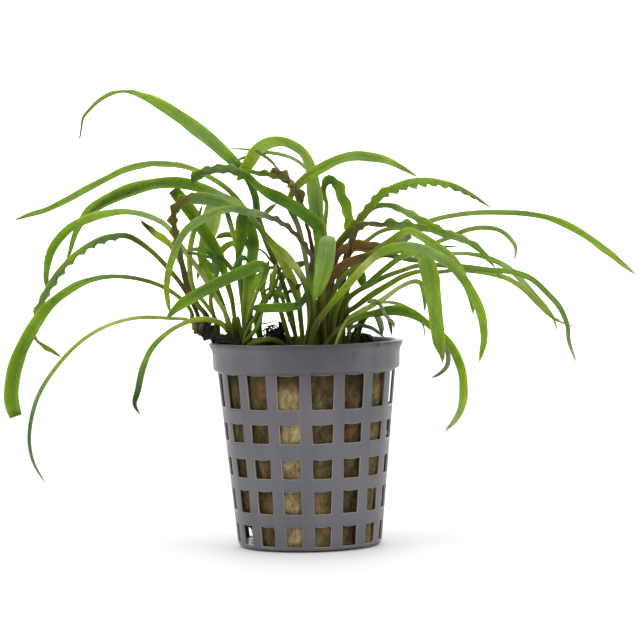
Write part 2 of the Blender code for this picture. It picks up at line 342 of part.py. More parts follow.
    ("leaf_54", "dark", (-14.4, 3.0, 52.6), (45, 60), (
        (-13.6, 62.0, 5, 1.1), (-13.2, 70.0, 6, 1.2), (-13.9, 75.8, 7, 1.5),
        (-15.6, 78.4, 8, 1.9), (-17.8, 79.1, 9, 1.6), (-19.6, 79.4, 10, 1.6),
        (-21.2, 79.1, 11.3, 1.5), (-22.7, 78.3, 12.2, 0.5))),
)
# Seen face on: the blade keeps to the heading from its foot to its tip.
FACING_LEAVES = ("leaf_18",)
# These end in a short straight edge and not in a point.
BLUNT_LEAVES = ("leaf_06", "leaf_13", "leaf_25", "leaf_44")

# Brown rhizome that climbs over the rim on the left: centre (x, y, z) and radius
RHIZOME_ROUTE = (
    (-19.4, -3.4, 50.9, 1.1), (-20.9, -3.2, 52.4, 1.3), (-22.7, -2.9, 53.7, 1.25),
    (-24.9, -2.4, 54.4, 1.5), (-26.2, -1.9, 56.0, 1.8), (-27.0, -1.7, 57.6, 1.7),
)
RHIZOME_SIDES = 10
CROWN_CENTRE = (-17.0, 2.0)
CROWN_RADIUS = 3.4
CROWN_FOOT_RADIUS = 2.7
CROWN_TOP_RADIUS = 3.05
CROWN_SWELL = 1.0
CROWN_TOP = 52.2
CROWN_SIDES = 12
# Lumps of dark roots on the wool: centre (x, y), half width, half depth, height
ROOT_LUMPS = (
    ("roots_left", -7.6, 3.4, 2.4, 2.0, 7.2),
    ("roots_right", 14.5, 7.3, 2.3, 2.3, 4.0),
)
ROOT_SIDES = 12
# Share of a lump's height and of its width at each level, from the foot up
ROOT_LEVELS = ((0.0, 0.8), (0.3, 1.0), (0.65, 0.8), (0.9, 0.45))
ROOT_UNEVEN = 0.12


def make_material(name, colour, roughness):
    material = bpy.data.materials.new(name)
    material.use_nodes = True
    shader = material.node_tree.nodes["Principled BSDF"]
    shader.inputs["Base Color"].default_value = (*colour, 1.0)
    shader.inputs["Roughness"].default_value = roughness
    material.diffuse_color = (*colour, 1.0)
    return material


def add_object(name, points, faces, tint):
    """Makes one closed object from points in millimetres."""
    mesh = bpy.data.meshes.new(name)
    mesh.from_pydata([tuple(c * MM for c in point) for point in points], [], faces)
    shell = bmesh.new()
    shell.from_mesh(mesh)
    bmesh.ops.recalc_face_normals(shell, faces=shell.faces)
    shell.to_mesh(mesh)
    shell.free()
    colour, roughness = COLOURS[tint]
    mesh.materials.append(make_material(name, colour, roughness))
    thing = bpy.data.objects.new(name, mesh)
    bpy.context.scene.collection.objects.link(thing)
    return thing


def seen_point(x, z, depth):
    """The real place of a point seen at x, z on the upright plane, moved by depth along the sight line."""
    on_plane = Vector((x, 0.0, z))
    return EYE + (on_plane - EYE) * ((depth - EYE.y) / -EYE.y)


def smooth_route(knots):
    """Even stations along a centripetal curve through the knots, which are rows of numbers."""
    rows = np.array(knots, float)
    rows = np.vstack([2 * rows[0] - rows[1], rows, 2 * rows[-1] - rows[-2]])
    dense = []
    for i in range(1, len(rows) - 2):
        p0, p1, p2, p3 = rows[i - 1:i + 3]
        t1 = max(np.linalg.norm((p1 - p0)[:3]), 1e-6) ** 0.5
        t2 = t1 + max(np.linalg.norm((p2 - p1)[:3]), 1e-6) ** 0.5
        t3 = t2 + max(np.linalg.norm((p3 - p2)[:3]), 1e-6) ** 0.5
        for t in np.linspace(t1, t2, STEPS_BETWEEN_KNOTS, endpoint=False):
            a1 = (t1 - t) / t1 * p0 + t / t1 * p1
            a2 = (t2 - t) / (t2 - t1) * p1 + (t - t1) / (t2 - t1) * p2
            a3 = (t3 - t) / (t3 - t2) * p2 + (t - t2) / (t3 - t2) * p3
            b1 = (t2 - t) / t2 * a1 + t / t2 * a2
            b2 = (t3 - t) / (t3 - t1) * a2 + (t - t1) / (t3 - t1) * a3
            dense.append((t2 - t) / (t2 - t1) * b1 + (t - t1) / (t2 - t1) * b2)
    dense.append(rows[-2])
    dense = np.array(dense)
    steps = np.linalg.norm(np.diff(dense[:, :3], axis=0), axis=1)
    along = np.concatenate([[0.0], np.cumsum(steps)])
    wanted = round(along[-1] / STATION_PITCH) + EXTRA_STATIONS
    count = int(np.clip(wanted, MIN_STATIONS, MAX_STATIONS))
    even = np.linspace(0.0, along[-1], count)
    return np.stack([np.interp(even, along, column) for column in dense.T], axis=1)


def leaf_frames(stations, turn, facing):
    """The across and normal directions of the blade at each station."""
    places = [Vector(row[:3]) for row in stations]
    foot, tip = places[0], places[-1]
    if facing:
        heading = Vector((tip.x - foot.x, tip.y - foot.y, 0.0)).normalized()
    else:
        heading = Vector((math.copysign(1.0, tip.x - foot.x), 0.0, 0.0))
    side = Vector((0.0, 0.0, 1.0)).cross(heading)
    sight = (places[len(places) // 2] - EYE).normalized()
    lean = math.copysign(1.0, side.dot(sight))
    frames = []
    for i, place in enumerate(places):
        ahead = places[min(i + 1, len(places) - 1)]
        behind = places[max(i - 1, 0)]
        tangent = (ahead - behind).normalized()
        level = (side - tangent * side.dot(tangent)).normalized()
        upper = tangent.cross(level)
        share = i / (len(places) - 1)
        angle = math.radians(turn[0] + (turn[1] - turn[0]) * share) * lean
        across = level * math.cos(angle) + upper * math.sin(angle)
        frames.append((place, across, tangent.cross(across)))
    return frames


def leaf_knots(foot, route):
    first = (foot[0], foot[1], foot[2], route[0][3] * FOOT_TAPER)
    return [first] + [(*seen_point(x, z, depth), width) for x, z, depth, width in route]


def add_leaf(name, tint, foot, turn, route):
    """One leaf with its stalk: a thin channelled strip that ends in a point."""
    stations = smooth_route(leaf_knots(foot, route))
    frames = leaf_frames(stations, turn, name in FACING_LEAVES)
    blunt = name in BLUNT_LEAVES
    points = []
    faces = []
    for row, (place, across, normal) in zip(stations, frames):
        half = row[3] / 2
        thick = min(LEAF_THICKNESS, row[3] * THICKEST_SHARE) / 2
        sunk = LEAF_CHANNEL * half if row[3] > NARROW_LEAF else 0.0
        points += [
            place - across * half,
            place + normal * (thick - sunk),
            place + across * half,
            place - normal * (thick + sunk),
        ]
    rings = len(stations)
    if not blunt:
        points = points[:-4] + [frames[-1][0]]
        rings -= 1
    for ring in range(rings - 1):
        for k in range(4):
            a = ring * 4 + k
            b = ring * 4 + (k + 1) % 4
            faces.append((a, b, b + 4, a + 4))
    faces.append((0, 1, 2, 3))
    last = (rings - 1) * 4
    if blunt:
        faces.append((last, last + 1, last + 2, last + 3))
    else:
        faces += [(last + k, last + (k + 1) % 4, last + 4) for k in range(4)]
    return add_object(name, points, faces, tint)


def add_tube(name, route, sides, tint):
    """A capped tube along centres (x, y, z) with a radius at each."""
    centres = [Vector(row[:3]) for row in route]
    points = []
    for i, row in enumerate(route):
        tangent = (centres[min(i + 1, len(route) - 1)] - centres[max(i - 1, 0)]).normalized()
        level = tangent.cross(Vector((0.0, 1.0, 0.0))).normalized()
        upper = tangent.cross(level)
        for k in range(sides):
            angle = 2 * math.pi * k / sides
            points.append(centres[i] + (level * math.cos(angle) + upper * math.sin(angle)) * row[3])
    faces = []
    for ring in range(len(route) - 1):
        for k in range(sides):
            a = ring * sides + k
            b = ring * sides + (k + 1) % sides
            faces.append((a, b, b + sides, a + sides))
    faces.append(tuple(range(sides)))
    faces.append(tuple(range((len(route) - 1) * sides, len(route) * sides)))
    return add_object(name, points, faces, tint)


def body_radius(height):
    return BODY_FOOT_RADIUS + BODY_FLARE * height


def collar_radius(height):
    share = (height - COLLAR_FOOT) / (RIM_HEIGHT - COLLAR_FOOT)
    return COLLAR_FOOT_RADIUS + (COLLAR_TOP_RADIUS - COLLAR_FOOT_RADIUS) * share


def slot_edges(height):
    """The angles of the two sides of every slot column at a height, in degrees."""
    share = min(max(height / SLOT_ROWS[-1][1], 0.0), 1.0)
    half = (SLOT_SPAN_FOOT + (SLOT_SPAN_TOP - SLOT_SPAN_FOOT) * share) / 2
    middles = [FIRST_COLUMN + COLUMN_PITCH * k for k in range(COLUMNS)]
    return [middle + side * half for middle in middles for side in (-1, 1)]


def add_pot():
    """The net pot: a tapered wall with five rows of slots, a collar with a lip, and a slotted floor."""
    outer = [(BASE_SLOT_INNER, 0.0), (BASE_SLOT_OUTER, 0.0)]
    outer += [(body_radius(0.0) - FOOT_ROUNDING, 0.0), (FOOT_BEND_RADIUS, FOOT_BEND_HEIGHT)]
    outer += [(body_radius(z), z) for row in SLOT_ROWS for z in row]
    outer += [(body_radius(COLLAR_FOOT), COLLAR_FOOT)]
    outer += [(COLLAR_FOOT_RADIUS, COLLAR_FOOT)]
    outer += [(collar_radius(RIM_HEIGHT - 2 * LIP_DEPTH), RIM_HEIGHT - 2 * LIP_DEPTH)]
    outer += [(RIM_RADIUS, RIM_HEIGHT - LIP_DEPTH), (RIM_RADIUS, RIM_HEIGHT)]
    inner = [(BASE_SLOT_INNER, FLOOR), (BASE_SLOT_OUTER, FLOOR)]
    inner += [(body_radius(FLOOR) - WALL, FLOOR)]
    inner += [(body_radius(z) - WALL, z) for row in SLOT_ROWS for z in row]
    inner += [(collar_radius(COLLAR_FOOT + COLLAR_STEP) - WALL, COLLAR_FOOT + COLLAR_STEP)]
    inner += [(COLLAR_TOP_RADIUS - WALL, RIM_HEIGHT)]
    first_slot_outer = 4
    first_slot_inner = 3
    points = []

    def ring(radius, height):
        start = len(points)
        for angle in slot_edges(height):
            turn = math.radians(angle)
            points.append((radius * math.cos(turn), radius * math.sin(turn), height))
        return start

    outer_rings = [ring(*pair) for pair in outer]
    inner_rings = [ring(*pair) for pair in inner]
    around = 2 * COLUMNS
    faces = []

    def join(low, high, cells):
        for k in cells:
            j = (k + 1) % around
            faces.append((low + k, low + j, high + j, high + k))

    everywhere = range(around)
    ribs = range(1, around, 2)
    slots = range(0, around, 2)
    rows = len(SLOT_ROWS)
    for rings, first in ((outer_rings, first_slot_outer), (inner_rings, first_slot_inner)):
        pierced = {0} | {first + 2 * k for k in range(rows)}
        for i in range(len(rings) - 1):
            join(rings[i], rings[i + 1], ribs if i in pierced else everywhere)
    join(outer_rings[-1], inner_rings[-1], everywhere)
    openings = [(outer_rings[0], outer_rings[1], inner_rings[0], inner_rings[1])]
    for k in range(rows):
        o = first_slot_outer + 2 * k
        n = first_slot_inner + 2 * k
        openings.append((outer_rings[o], outer_rings[o + 1], inner_rings[n], inner_rings[n + 1]))
    for low, high, inner_low, inner_high in openings:
        for k in slots:
            edge = ((low + k, low + k + 1), (low + k + 1, high + k + 1),
                    (high + k + 1, high + k), (high + k, low + k))
            back = (inner_low + k, inner_low + k + 1, inner_high + k + 1, inner_high + k)
            for side, (a, b) in enumerate(edge):
                faces.append((a, b, back[(side + 1) % 4], back[side]))
    faces.append(tuple(outer_rings[0] + k for k in everywhere))
    faces.append(tuple(inner_rings[0] + k for k in everywhere))
    return add_object("pot", points, faces, "pot")


def stacked_faces(levels, sides):
    """Faces of stacked rings, flat below and closed above by a point after the last ring."""
    faces = [tuple(range(sides))]
    for level in range(levels - 1):
        for k in range(sides):
            a = level * sides + k
            b = level * sides + (k + 1) % sides
            faces.append((a, b, b + sides, a + sides))
    top = (levels - 1) * sides
    faces += [(top + k, top + (k + 1) % sides, levels * sides) for k in range(sides)]
    return faces


def add_wool():
    """The plug of mineral wool, a little uneven round its side and on top."""
    body_inner = BODY_FOOT_RADIUS - WALL - WOOL_CLEARANCE
    levels = [(FLOOR + GAP, body_inner)]
    levels += [(z, body_inner + z * BODY_FLARE) for z in WOOL_HEIGHTS]
    levels += [(WOOL_TOP - drop, radius) for drop, radius in WOOL_SHOULDER]
    points = []
    for level, (height, radius) in enumerate(levels):
        for k in range(WOOL_SIDES):
            angle = 2 * math.pi * k / WOOL_SIDES
            broad = WOOL_BROAD_SWELL * (math.sin(3 * angle + level) - 1.0)
            narrow = WOOL_NARROW_SWELL * (math.sin(7 * angle - 2 * level) - 1.0)
            reach = radius + broad + narrow
            points.append((reach * math.cos(angle), reach * math.sin(angle), height))
    points.append((0.0, 0.0, WOOL_TOP))
    return add_object("wool", points, stacked_faces(len(levels), WOOL_SIDES), "wool")


def add_crown():
    """The stub of old leaf sheaths that the left group of leaves grows from."""
    x, y = CROWN_CENTRE
    foot = WOOL_TOP + GAP
    route = ((x, y, foot, CROWN_FOOT_RADIUS), (x, y, foot + CROWN_SWELL, CROWN_RADIUS),
             (x, y, CROWN_TOP, CROWN_TOP_RADIUS))
    return add_tube("crown_left", route, CROWN_SIDES, "brown")


def add_roots(name, x, y, half_width, half_depth, height):
    """A lumpy mound of roots standing on the wool."""
    foot = WOOL_TOP + GAP
    points = []
    for level, (rise, spread) in enumerate(ROOT_LEVELS):
        for k in range(ROOT_SIDES):
            angle = 2 * math.pi * k / ROOT_SIDES
            lump = spread * (1 + ROOT_UNEVEN * math.sin(3 * angle + 2 * level))
            points.append((x + half_width * lump * math.cos(angle),
                           y + half_depth * lump * math.sin(angle), foot + height * rise))
    points.append((x, y, foot + height))
    return add_object(name, points, stacked_faces(len(ROOT_LEVELS), ROOT_SIDES), "root")


def main():
    for thing in list(bpy.data.objects):
        bpy.data.objects.remove(thing, do_unlink=True)
    add_pot()
    add_wool()
    add_crown()
    add_tube("rhizome", RHIZOME_ROUTE, RHIZOME_SIDES, "brown")
    for lump in ROOT_LUMPS:
        add_roots(*lump)
    for leaf in LEAVES:
        add_leaf(*leaf)


main()
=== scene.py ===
# Looks of the potted cryptocoryne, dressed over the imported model.
# Lengths in the tables are millimetres, and MM turns them into metres. The leaf routes are the
# ones that the solids follow.

import math

import bmesh
import bpy
import numpy as np
from mathutils import Matrix, Vector, noise


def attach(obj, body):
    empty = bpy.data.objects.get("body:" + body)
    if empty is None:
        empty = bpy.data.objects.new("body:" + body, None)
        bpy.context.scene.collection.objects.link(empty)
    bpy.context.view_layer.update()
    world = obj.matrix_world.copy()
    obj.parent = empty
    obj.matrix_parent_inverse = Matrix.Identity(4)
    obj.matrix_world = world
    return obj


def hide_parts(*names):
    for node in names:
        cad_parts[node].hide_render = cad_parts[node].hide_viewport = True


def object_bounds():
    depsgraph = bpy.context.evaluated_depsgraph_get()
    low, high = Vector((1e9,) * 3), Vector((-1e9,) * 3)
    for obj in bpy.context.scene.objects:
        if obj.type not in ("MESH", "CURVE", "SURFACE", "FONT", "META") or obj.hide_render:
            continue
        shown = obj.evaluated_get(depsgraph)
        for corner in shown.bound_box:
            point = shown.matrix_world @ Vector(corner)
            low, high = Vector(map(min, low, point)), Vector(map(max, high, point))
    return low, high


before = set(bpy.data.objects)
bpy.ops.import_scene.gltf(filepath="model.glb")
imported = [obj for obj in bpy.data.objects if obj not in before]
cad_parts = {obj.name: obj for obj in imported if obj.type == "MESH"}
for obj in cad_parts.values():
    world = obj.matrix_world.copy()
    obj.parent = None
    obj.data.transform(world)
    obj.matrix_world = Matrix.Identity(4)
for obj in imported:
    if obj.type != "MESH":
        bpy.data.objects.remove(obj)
cad_low, cad_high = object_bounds()

MM = 0.001
STEM_FOOT = 50.1
EYE = Vector((3.7, -750.0, 89.6))

# Each leaf: name, tint, foot (x, y, z), turn in degrees at the foot and at the tip, and its
# route from foot to tip. A route point is (x, z, depth, width) as seen from EYE.
LEAVES = (
    ("leaf_01", "green", (-2.4, 4.6, STEM_FOOT), (40, 62), (
        (-4.2, 62, 6.5, 1.4), (-7.2, 71.3, 8.5, 1.6), (-9.9, 78, 10.5, 1.9), (-11.6, 84, 12.5, 2.4),
        (-12.3, 89.4, 14, 2.8), (-14.8, 94.8, 15, 2.7), (-20, 100.4, 17, 4.4), (-25, 105, 19, 4.6),
        (-30, 108.9, 21, 4.3), (-35, 112.4, 23, 3.6), (-40, 115, 25, 2.5), (-45, 116.5, 27, 1.3),
        (-50, 115, 28, 1.3), (-54.2, 111.5, 29, 1), (-55.5, 109.8, 29, 0.8), (-56, 107.4, 30, 0.6),
        (-56.6, 104.6, 30, 0.5), (-57.3, 104.1, 30, 0.3))),
    ("leaf_02", "light", (-0.8, 1.8, STEM_FOOT), (40, 60), (
        (-1.4, 59.5, 3, 2), (-2.6, 65.6, 4, 3.3), (-5, 70.9, 5, 3.4), (-8.4, 76.7, 7, 1.9),
        (-14.3, 85.1, 9, 1.6), (-19, 90.8, 11, 1.5), (-24.5, 94.6, 12.5, 1.7), (-30, 96.9, 14, 2),
        (-38, 97.8, 16, 2.2), (-45, 96.4, 18, 2.3), (-55, 91.7, 20, 2.3), (-65, 86.8, 22, 1.9),
        (-70, 85.4, 23, 1.3), (-74, 84, 24, 0.3))),
    ("leaf_03", "dark", (0.8, -0.8, STEM_FOOT), (40, 62), (
        (1, 60, -0.5, 1.7), (-0.1, 66.8, 0, 2.6), (-3.4, 72.3, 1, 2.8), (-8, 77.2, 2.5, 2),
        (-12.2, 82, 4, 1.7), (-16, 86.5, 5, 2.6), (-20, 88.7, 6, 3.1), (-25, 91, 7, 3.4),
        (-31, 92.8, 8, 3.6), (-38, 92.6, 9, 3.8), (-45, 90.9, 10, 4.1), (-50, 88.8, 11, 3.8),
        (-54.9, 85.6, 12, 3), (-58, 81, 12, 2), (-59.8, 75.5, 12, 1), (-60.8, 73.3, 12, 0.3))),
    ("leaf_04", "green", (-18.8, 2.4, 52.6), (45, 62), (
        (-19.9, 58.2, 3, 1.2), (-23.1, 64, 4, 1.3), (-26.4, 69.8, 4, 1.4), (-31.2, 76.5, 3, 1.5),
        (-35, 82, 2, 1.6), (-39.7, 84.6, 1, 1.8), (-45, 85.7, 0, 2.1), (-50, 85.4, -1, 2.4),
        (-55, 84.1, -1.5, 2.7), (-59.7, 81.7, -2, 2.8), (-64.3, 76.3, -2.5, 2.6),
        (-65.9, 70.3, -3, 1.9), (-65.5, 65, -3, 0.3))),
    ("leaf_05", "dark", (-27.4, 1, 58.6), (45, 66), (
        (-30.3, 65, 1, 1.3), (-34.4, 70.7, 0.5, 1.3), (-39.8, 76.3, -0.5, 1.4), (-45.2, 79.6, -2, 2),
        (-49.8, 79.1, -3.5, 2.4), (-55, 77.1, -5.5, 2.3), (-60, 73.3, -7.5, 2.2), (-65, 67, -9, 2.3),
        (-68.3, 60.8, -10, 2.1), (-69.3, 56.5, -10.5, 1.2), (-68.6, 53.3, -11, 0.9),
        (-65.8, 51.2, -11, 1.5), (-62.2, 48.8, -11, 0.3))),
    ("leaf_06", "green", (-28.9, -1.4, 59.6), (35, 74), (
        (-31, 62.6, -3.5, 1.2), (-36, 66.3, -6.5, 1.2), (-43, 68.7, -9.5, 1.2), (-50, 69.3, -12, 1.3),
        (-55, 68.4, -14, 1.9), (-60, 66.2, -16, 2.6), (-65.6, 61.8, -18, 3.2),
        (-70.2, 55.6, -19.5, 3.7), (-73.9, 48, -21, 4), (-75.6, 40, -22, 4.2), (-75.3, 36.6, -22, 4.1),
        (-74.5, 34, -22, 3.5))),
    ("leaf_07", "green", (-28, -4.4, 56.4), (40, 60), (
        (-30, 57.8, -6, 1), (-34.5, 58.3, -9, 1), (-42, 58.7, -13, 1.1), (-50, 57, -18, 1.1),
        (-57, 53.2, -22, 1.1), (-64, 46.3, -27, 1.1), (-69, 38.4, -31, 1.1), (-71.2, 29, -34, 1),
        (-70.4, 22.5, -36, 0.8), (-67.4, 16.7, -37, 0.3))),
    ("leaf_08", "dark", (-18.9, -0.1, 52.9), (45, 62), (
        (-21.1, 56.4, -3.6, 1.7), (-25.2, 57.9, -9, 1.5), (-29.2, 57.6, -13, 1.3),
        (-34.8, 55, -18, 1.3), (-39.4, 50.7, -22, 1.6), (-41.7, 46, -25, 1.9), (-43.2, 40, -27, 1.7),
        (-44.1, 36.6, -27.5, 1.1), (-42.7, 33.7, -28, 0.3))),
    ("leaf_09", "light", (-25.6, 3.2, 58.4), (50, 66), (
        (-28.6, 64, 5, 1.1), (-31, 71.5, 6, 1.4), (-33.9, 77, 6, 2), (-37.5, 79.8, 6, 2.1),
        (-39.8, 81.8, 6, 1.4), (-41.9, 83.8, 6, 0.4))),
    ("leaf_10", "brown", (-24.9, -3.6, 58.6), (45, 66), (
        (-27.6, 61.8, -4, 1.6), (-29.8, 66, -6, 1.7), (-31, 71, -8, 1.9), (-31.9, 76, -10, 2.2),
        (-33, 81.5, -12, 2.6), (-33, 85.4, -13, 2.8), (-30.3, 88.4, -14, 3.2), (-25.5, 88.7, -15, 3.4),
        (-20.6, 87.3, -16, 2.8), (-16.8, 85.6, -17, 1.9), (-14, 84.8, -17, 0.4))),
    ("leaf_11", "green", (2.2, -7.4, STEM_FOOT), (45, 62), (
        (2.4, 60, -9, 1.2), (1.4, 68, -11, 1.4), (1.9, 73.2, -13, 1.5), (0.2, 76.2, -14, 1.5),
        (-3.5, 80.6, -16, 1.6), (-8, 83.4, -19, 1.9), (-14.3, 85.1, -22, 2.2), (-19, 85.8, -24, 2.3),
        (-25, 83.8, -27, 2.4), (-30, 80.5, -30, 2.4), (-33.5, 74, -32, 2.1), (-35.2, 67, -34, 1.7),
        (-35, 62.5, -34, 1.2), (-34.3, 59, -34, 0.3))),
    ("leaf_12", "light", (-15.6, -0.5, 52.9), (50, 64), (
        (-14.2, 59.5, -5, 1), (-13, 62.5, -8.5, 1), (-12, 65.3, -13, 1), (-10.6, 68.4, -18, 1.1),
        (-9.7, 70.4, -23, 2.2), (-11.6, 71.2, -28, 3.4), (-15.5, 69.9, -32, 3.3),
        (-20.5, 67.8, -36, 3.4), (-26.5, 64.8, -40, 3.3), (-32.3, 61.3, -43, 2.4),
        (-35.8, 58, -45, 0.4))),
    ("leaf_13", "dark", (-16.6, 3.6, 52.6), (45, 66), (
        (-18, 58, 5, 1.2), (-18.7, 63, 6, 1.4), (-20.3, 69, 7.5, 2.4), (-22, 74.5, 9, 3.2),
        (-25, 79.6, 10.5, 3.7), (-28.4, 85, 12, 3.8), (-31.5, 89.2, 13, 3.6), (-33, 91.2, 13, 3.2))),
    ("leaf_14", "green", (3.6, 4.2, STEM_FOOT), (60, 64), (
        (3.8, 62, 4.5, 1.6), (4, 74, 5.5, 2.8), (3.4, 84, 6.5, 4), (2.9, 90, 7, 4.4), (2, 96, 7, 3.2),
        (0, 100, 6, 2.7), (-4.5, 102.7, 5, 2.8), (-8.2, 102.6, 4, 3.6), (-11.3, 100.6, 3, 3.9),
        (-13.8, 97.2, 2, 3.5), (-15.4, 94.6, 1.5, 3), (-16.8, 92.9, 1.5, 0.5))),
    ("leaf_15", "brown", (2.4, 2.2, STEM_FOOT), (45, 60), (
        (2.3, 62, 1.8, 1.1), (1.9, 71, 1, 1.2), (2.1, 75, 1.2, 1.2), (1.2, 80, 1.5, 1.2),
        (-0.2, 85.7, 2, 1.4), (-1.8, 89.7, 1.8, 1.9), (-4, 92.9, 1.5, 2.1), (-7.5, 94.3, 1, 2.1),
        (-11.3, 94.9, 0, 1.6), (-15, 95.3, -1, 0.4))),
    ("leaf_16", "dark", (5, -2.6, STEM_FOOT), (55, 66), (
        (5.6, 62, -2.5, 1.5), (6, 71, -3, 2), (5, 77.5, -5, 2.8), (3.6, 81.1, -7, 3.8),
        (-0.6, 84.9, -8, 3.8), (-4.5, 87.5, -8.5, 3.5), (-8, 89.4, -8.5, 3.3), (-11.5, 91.6, -8, 2.3),
        (-14.3, 94.2, -8, 2.2), (-18.4, 96, -8, 2.6), (-23, 96, -8, 2.4), (-26.3, 95.2, -8, 1.8),
        (-27.9, 93.6, -8, 1), (-27.7, 92.4, -8, 0.3))),
    ("leaf_17", "green", (0.4, -3.2, STEM_FOOT), (45, 64), (
        (1.3, 63, -2.8, 1.3), (0.9, 69, -2.8, 1.4), (0, 75, -3, 1.5), (-1.6, 81.7, -3, 1.7),
        (-3.5, 86.5, -3, 1.7), (-2.4, 90.2, -2.8, 2.4), (0.4, 93.1, -2.5, 2.8), (5.2, 96, -2, 3.1),
        (9.1, 97.8, -1, 3.1), (14, 98.7, 1, 3), (20.8, 97.6, 4, 2.5), (25, 95.7, 6, 1.6),
        (29.6, 92.9, 8, 0.3))),
    ("leaf_18", "green", (4.9, -6, STEM_FOOT), (0, 0), (
        (4.5, 59, -8.2, 1.3), (4.6, 66, -10.5, 1.6), (5.5, 74, -12, 2.4), (6, 78.2, -14.8, 3),
        (6, 77.2, -17.2, 4.2), (5.3, 72, -20, 4.7), (4.4, 68.4, -21, 4.1), (3.4, 65, -22, 2.8),
        (2.1, 61.9, -22, 0.4))),
    ("leaf_19", "green", (4.6, 10, STEM_FOOT), (45, 64), (
        (4.8, 64, 11, 1.1), (5, 74, 12, 1.3), (5.4, 81.5, 13, 1.3), (6, 86.5, 14, 1.3),
        (5.2, 90.6, 15, 1.9), (7.2, 92.9, 16, 3), (9.2, 90.6, 17, 3.3), (10.5, 86.9, 17.5, 3.3),
        (11.5, 83.9, 18, 3.1), (11.5, 80.9, 18.5, 2.8), (11.3, 77.5, 19, 0.6))),
    ("leaf_20", "green", (2.4, 7, STEM_FOOT), (45, 66), (
        (4.6, 62, 7, 1.4), (6.4, 69, 7, 1.7), (8.4, 75.6, 6.5, 2.2), (11.5, 79.3, 6, 2.8),
        (14.2, 82.4, 6, 2.7), (16.3, 84.9, 6.5, 2.5), (18.1, 87, 7, 2.6), (20.2, 89, 8, 2.8),
        (22.8, 90.1, 9, 2.8), (26.6, 91.3, 11, 2.8), (31.5, 91.9, 13, 2.5), (37, 91, 15, 2.1),
        (42, 88.7, 17, 1.5), (45.5, 86.5, 18.5, 0.9), (48.3, 84.4, 19, 0.3))),
    ("leaf_21", "dark", (7.2, 4.8, STEM_FOOT), (45, 66), (
        (8.6, 62, 7, 1.2), (10.2, 72, 9, 1.3), (12.6, 78.6, 10, 1.4), (15.4, 83.4, 10.5, 1.5),
        (18.4, 85.7, 10.5, 1.6), (21.8, 86, 9.5, 1.8), (24.8, 84.9, 8, 2.1), (27.8, 83.4, 6, 2.4),
        (31.2, 81.1, 4, 2.8), (35.2, 78.8, 2, 2.8), (38.8, 77.6, 0.5, 2.4), (42.1, 76.2, -1, 2),
        (44.9, 74.2, -2, 1.8), (47, 71.6, -3, 1.3), (48.9, 69.3, -4, 0.3))),
    ("leaf_22", "brown", (8.4, 2.2, STEM_FOOT), (45, 66), (
        (9.4, 62, 2.8, 1.1), (10.6, 70, 2.4, 1.2), (12.2, 76.5, 1.6, 1.4), (13.8, 80.2, 1, 1.8),
        (16, 81.5, 0, 2.3), (18.4, 81.2, -0.5, 1.3), (21.5, 81.3, -1, 2.7), (25, 81.1, -1.5, 2.5),
        (28.5, 80.6, -2, 1.8), (33, 79.8, -2, 0.4))),
    ("leaf_23", "light", (4.8, 0.6, STEM_FOOT), (45, 62), (
        (6.4, 60, 0.5, 1.2), (8.2, 66, 0.8, 1.4), (10.2, 68.4, 0.5, 1.5), (12.3, 70, 0.6, 1.6),
        (15.3, 72.4, 1.4, 1.6), (20, 75.8, 3, 1.7), (24, 78.2, 5.5, 1.8), (28, 80.1, 9, 1.8),
        (32, 81.7, 13, 1.6), (36.4, 82.8, 16, 1.4), (43, 83.6, 19, 1.5), (51, 83.6, 23, 1.6),
        (57, 83.1, 26, 1.8), (63, 81.8, 29, 2.1), (68, 79.6, 31, 2.3), (73, 76.4, 33, 2.4),
        (78, 72.5, 35, 2.2), (82, 69.1, 36, 1.3), (84.8, 66.8, 37, 0.3))),
    ("leaf_24", "brown", (2.6, -4, STEM_FOOT), (50, 64), (
        (2.4, 58, -5, 1.8), (4.1, 62.6, -6, 2.2), (6.7, 67.6, -6, 2.8), (9.2, 70.5, -5.5, 2.9),
        (13, 72.2, -4, 2.6), (18, 73.6, -2, 2.1), (24, 74.4, 0, 1.7), (30, 75, 1, 1.3),
        (35, 75.2, 2, 0.8), (39.4, 75.2, 3, 0.3))),
    ("leaf_25", "brown", (6.2, 2.6, STEM_FOOT), (50, 66), (
        (6.6, 62, 3.4, 1.2), (7.4, 69, 4, 1.4), (8.6, 73.6, 4.2, 1.8), (10.6, 75.2, 4.4, 2.8),
        (13.5, 75.8, 5, 3.4), (17, 75.5, 5.5, 3.2), (20.5, 75.4, 7.5, 2.4), (24, 76.5, 9.5, 1.9),
        (26.4, 77.7, 10, 2.1), (27.4, 78.2, 10, 1.2))),
    ("leaf_26", "green", (0.8, -9.8, STEM_FOOT), (45, 64), (
        (3, 56.3, -10.5, 2), (5, 59.1, -11.5, 2.1), (7.4, 62.1, -12.5, 2.2), (10.2, 65.1, -13.5, 2.3),
        (13, 68.1, -15, 2.4), (16.2, 71.2, -17, 2.4), (19.5, 74, -19, 2.3), (24, 75.4, -22, 2.6),
        (29.5, 75, -25, 2.7), (33.6, 73, -28, 2.8), (37.6, 70.2, -30, 2.8), (41, 66, -32, 2.9),
        (43.7, 61, -34, 2.7), (45.2, 56, -35, 2.5), (45.4, 51, -36, 2.1), (44.1, 45.4, -36, 0.3))),
    ("leaf_27", "light", (6.6, -3.8, STEM_FOOT), (50, 64), (
        (8, 60, -5.5, 1.4), (11, 66, -7, 1.6), (15.5, 71.2, -9, 1.7), (20, 75, -11, 1.8),
        (24, 78.2, -13, 2), (27, 79.3, -14, 2.3), (30, 77.9, -15, 2.6), (33, 75.9, -16, 2.5),
        (36, 73.6, -17, 2.5), (38.6, 70.8, -18, 2.5), (40.8, 66.5, -19, 2.4), (42.3, 62, -20, 1.7),
        (42.9, 57.3, -20, 0.3))),
    ("leaf_28", "green", (8, -1.6, STEM_FOOT), (50, 74), (
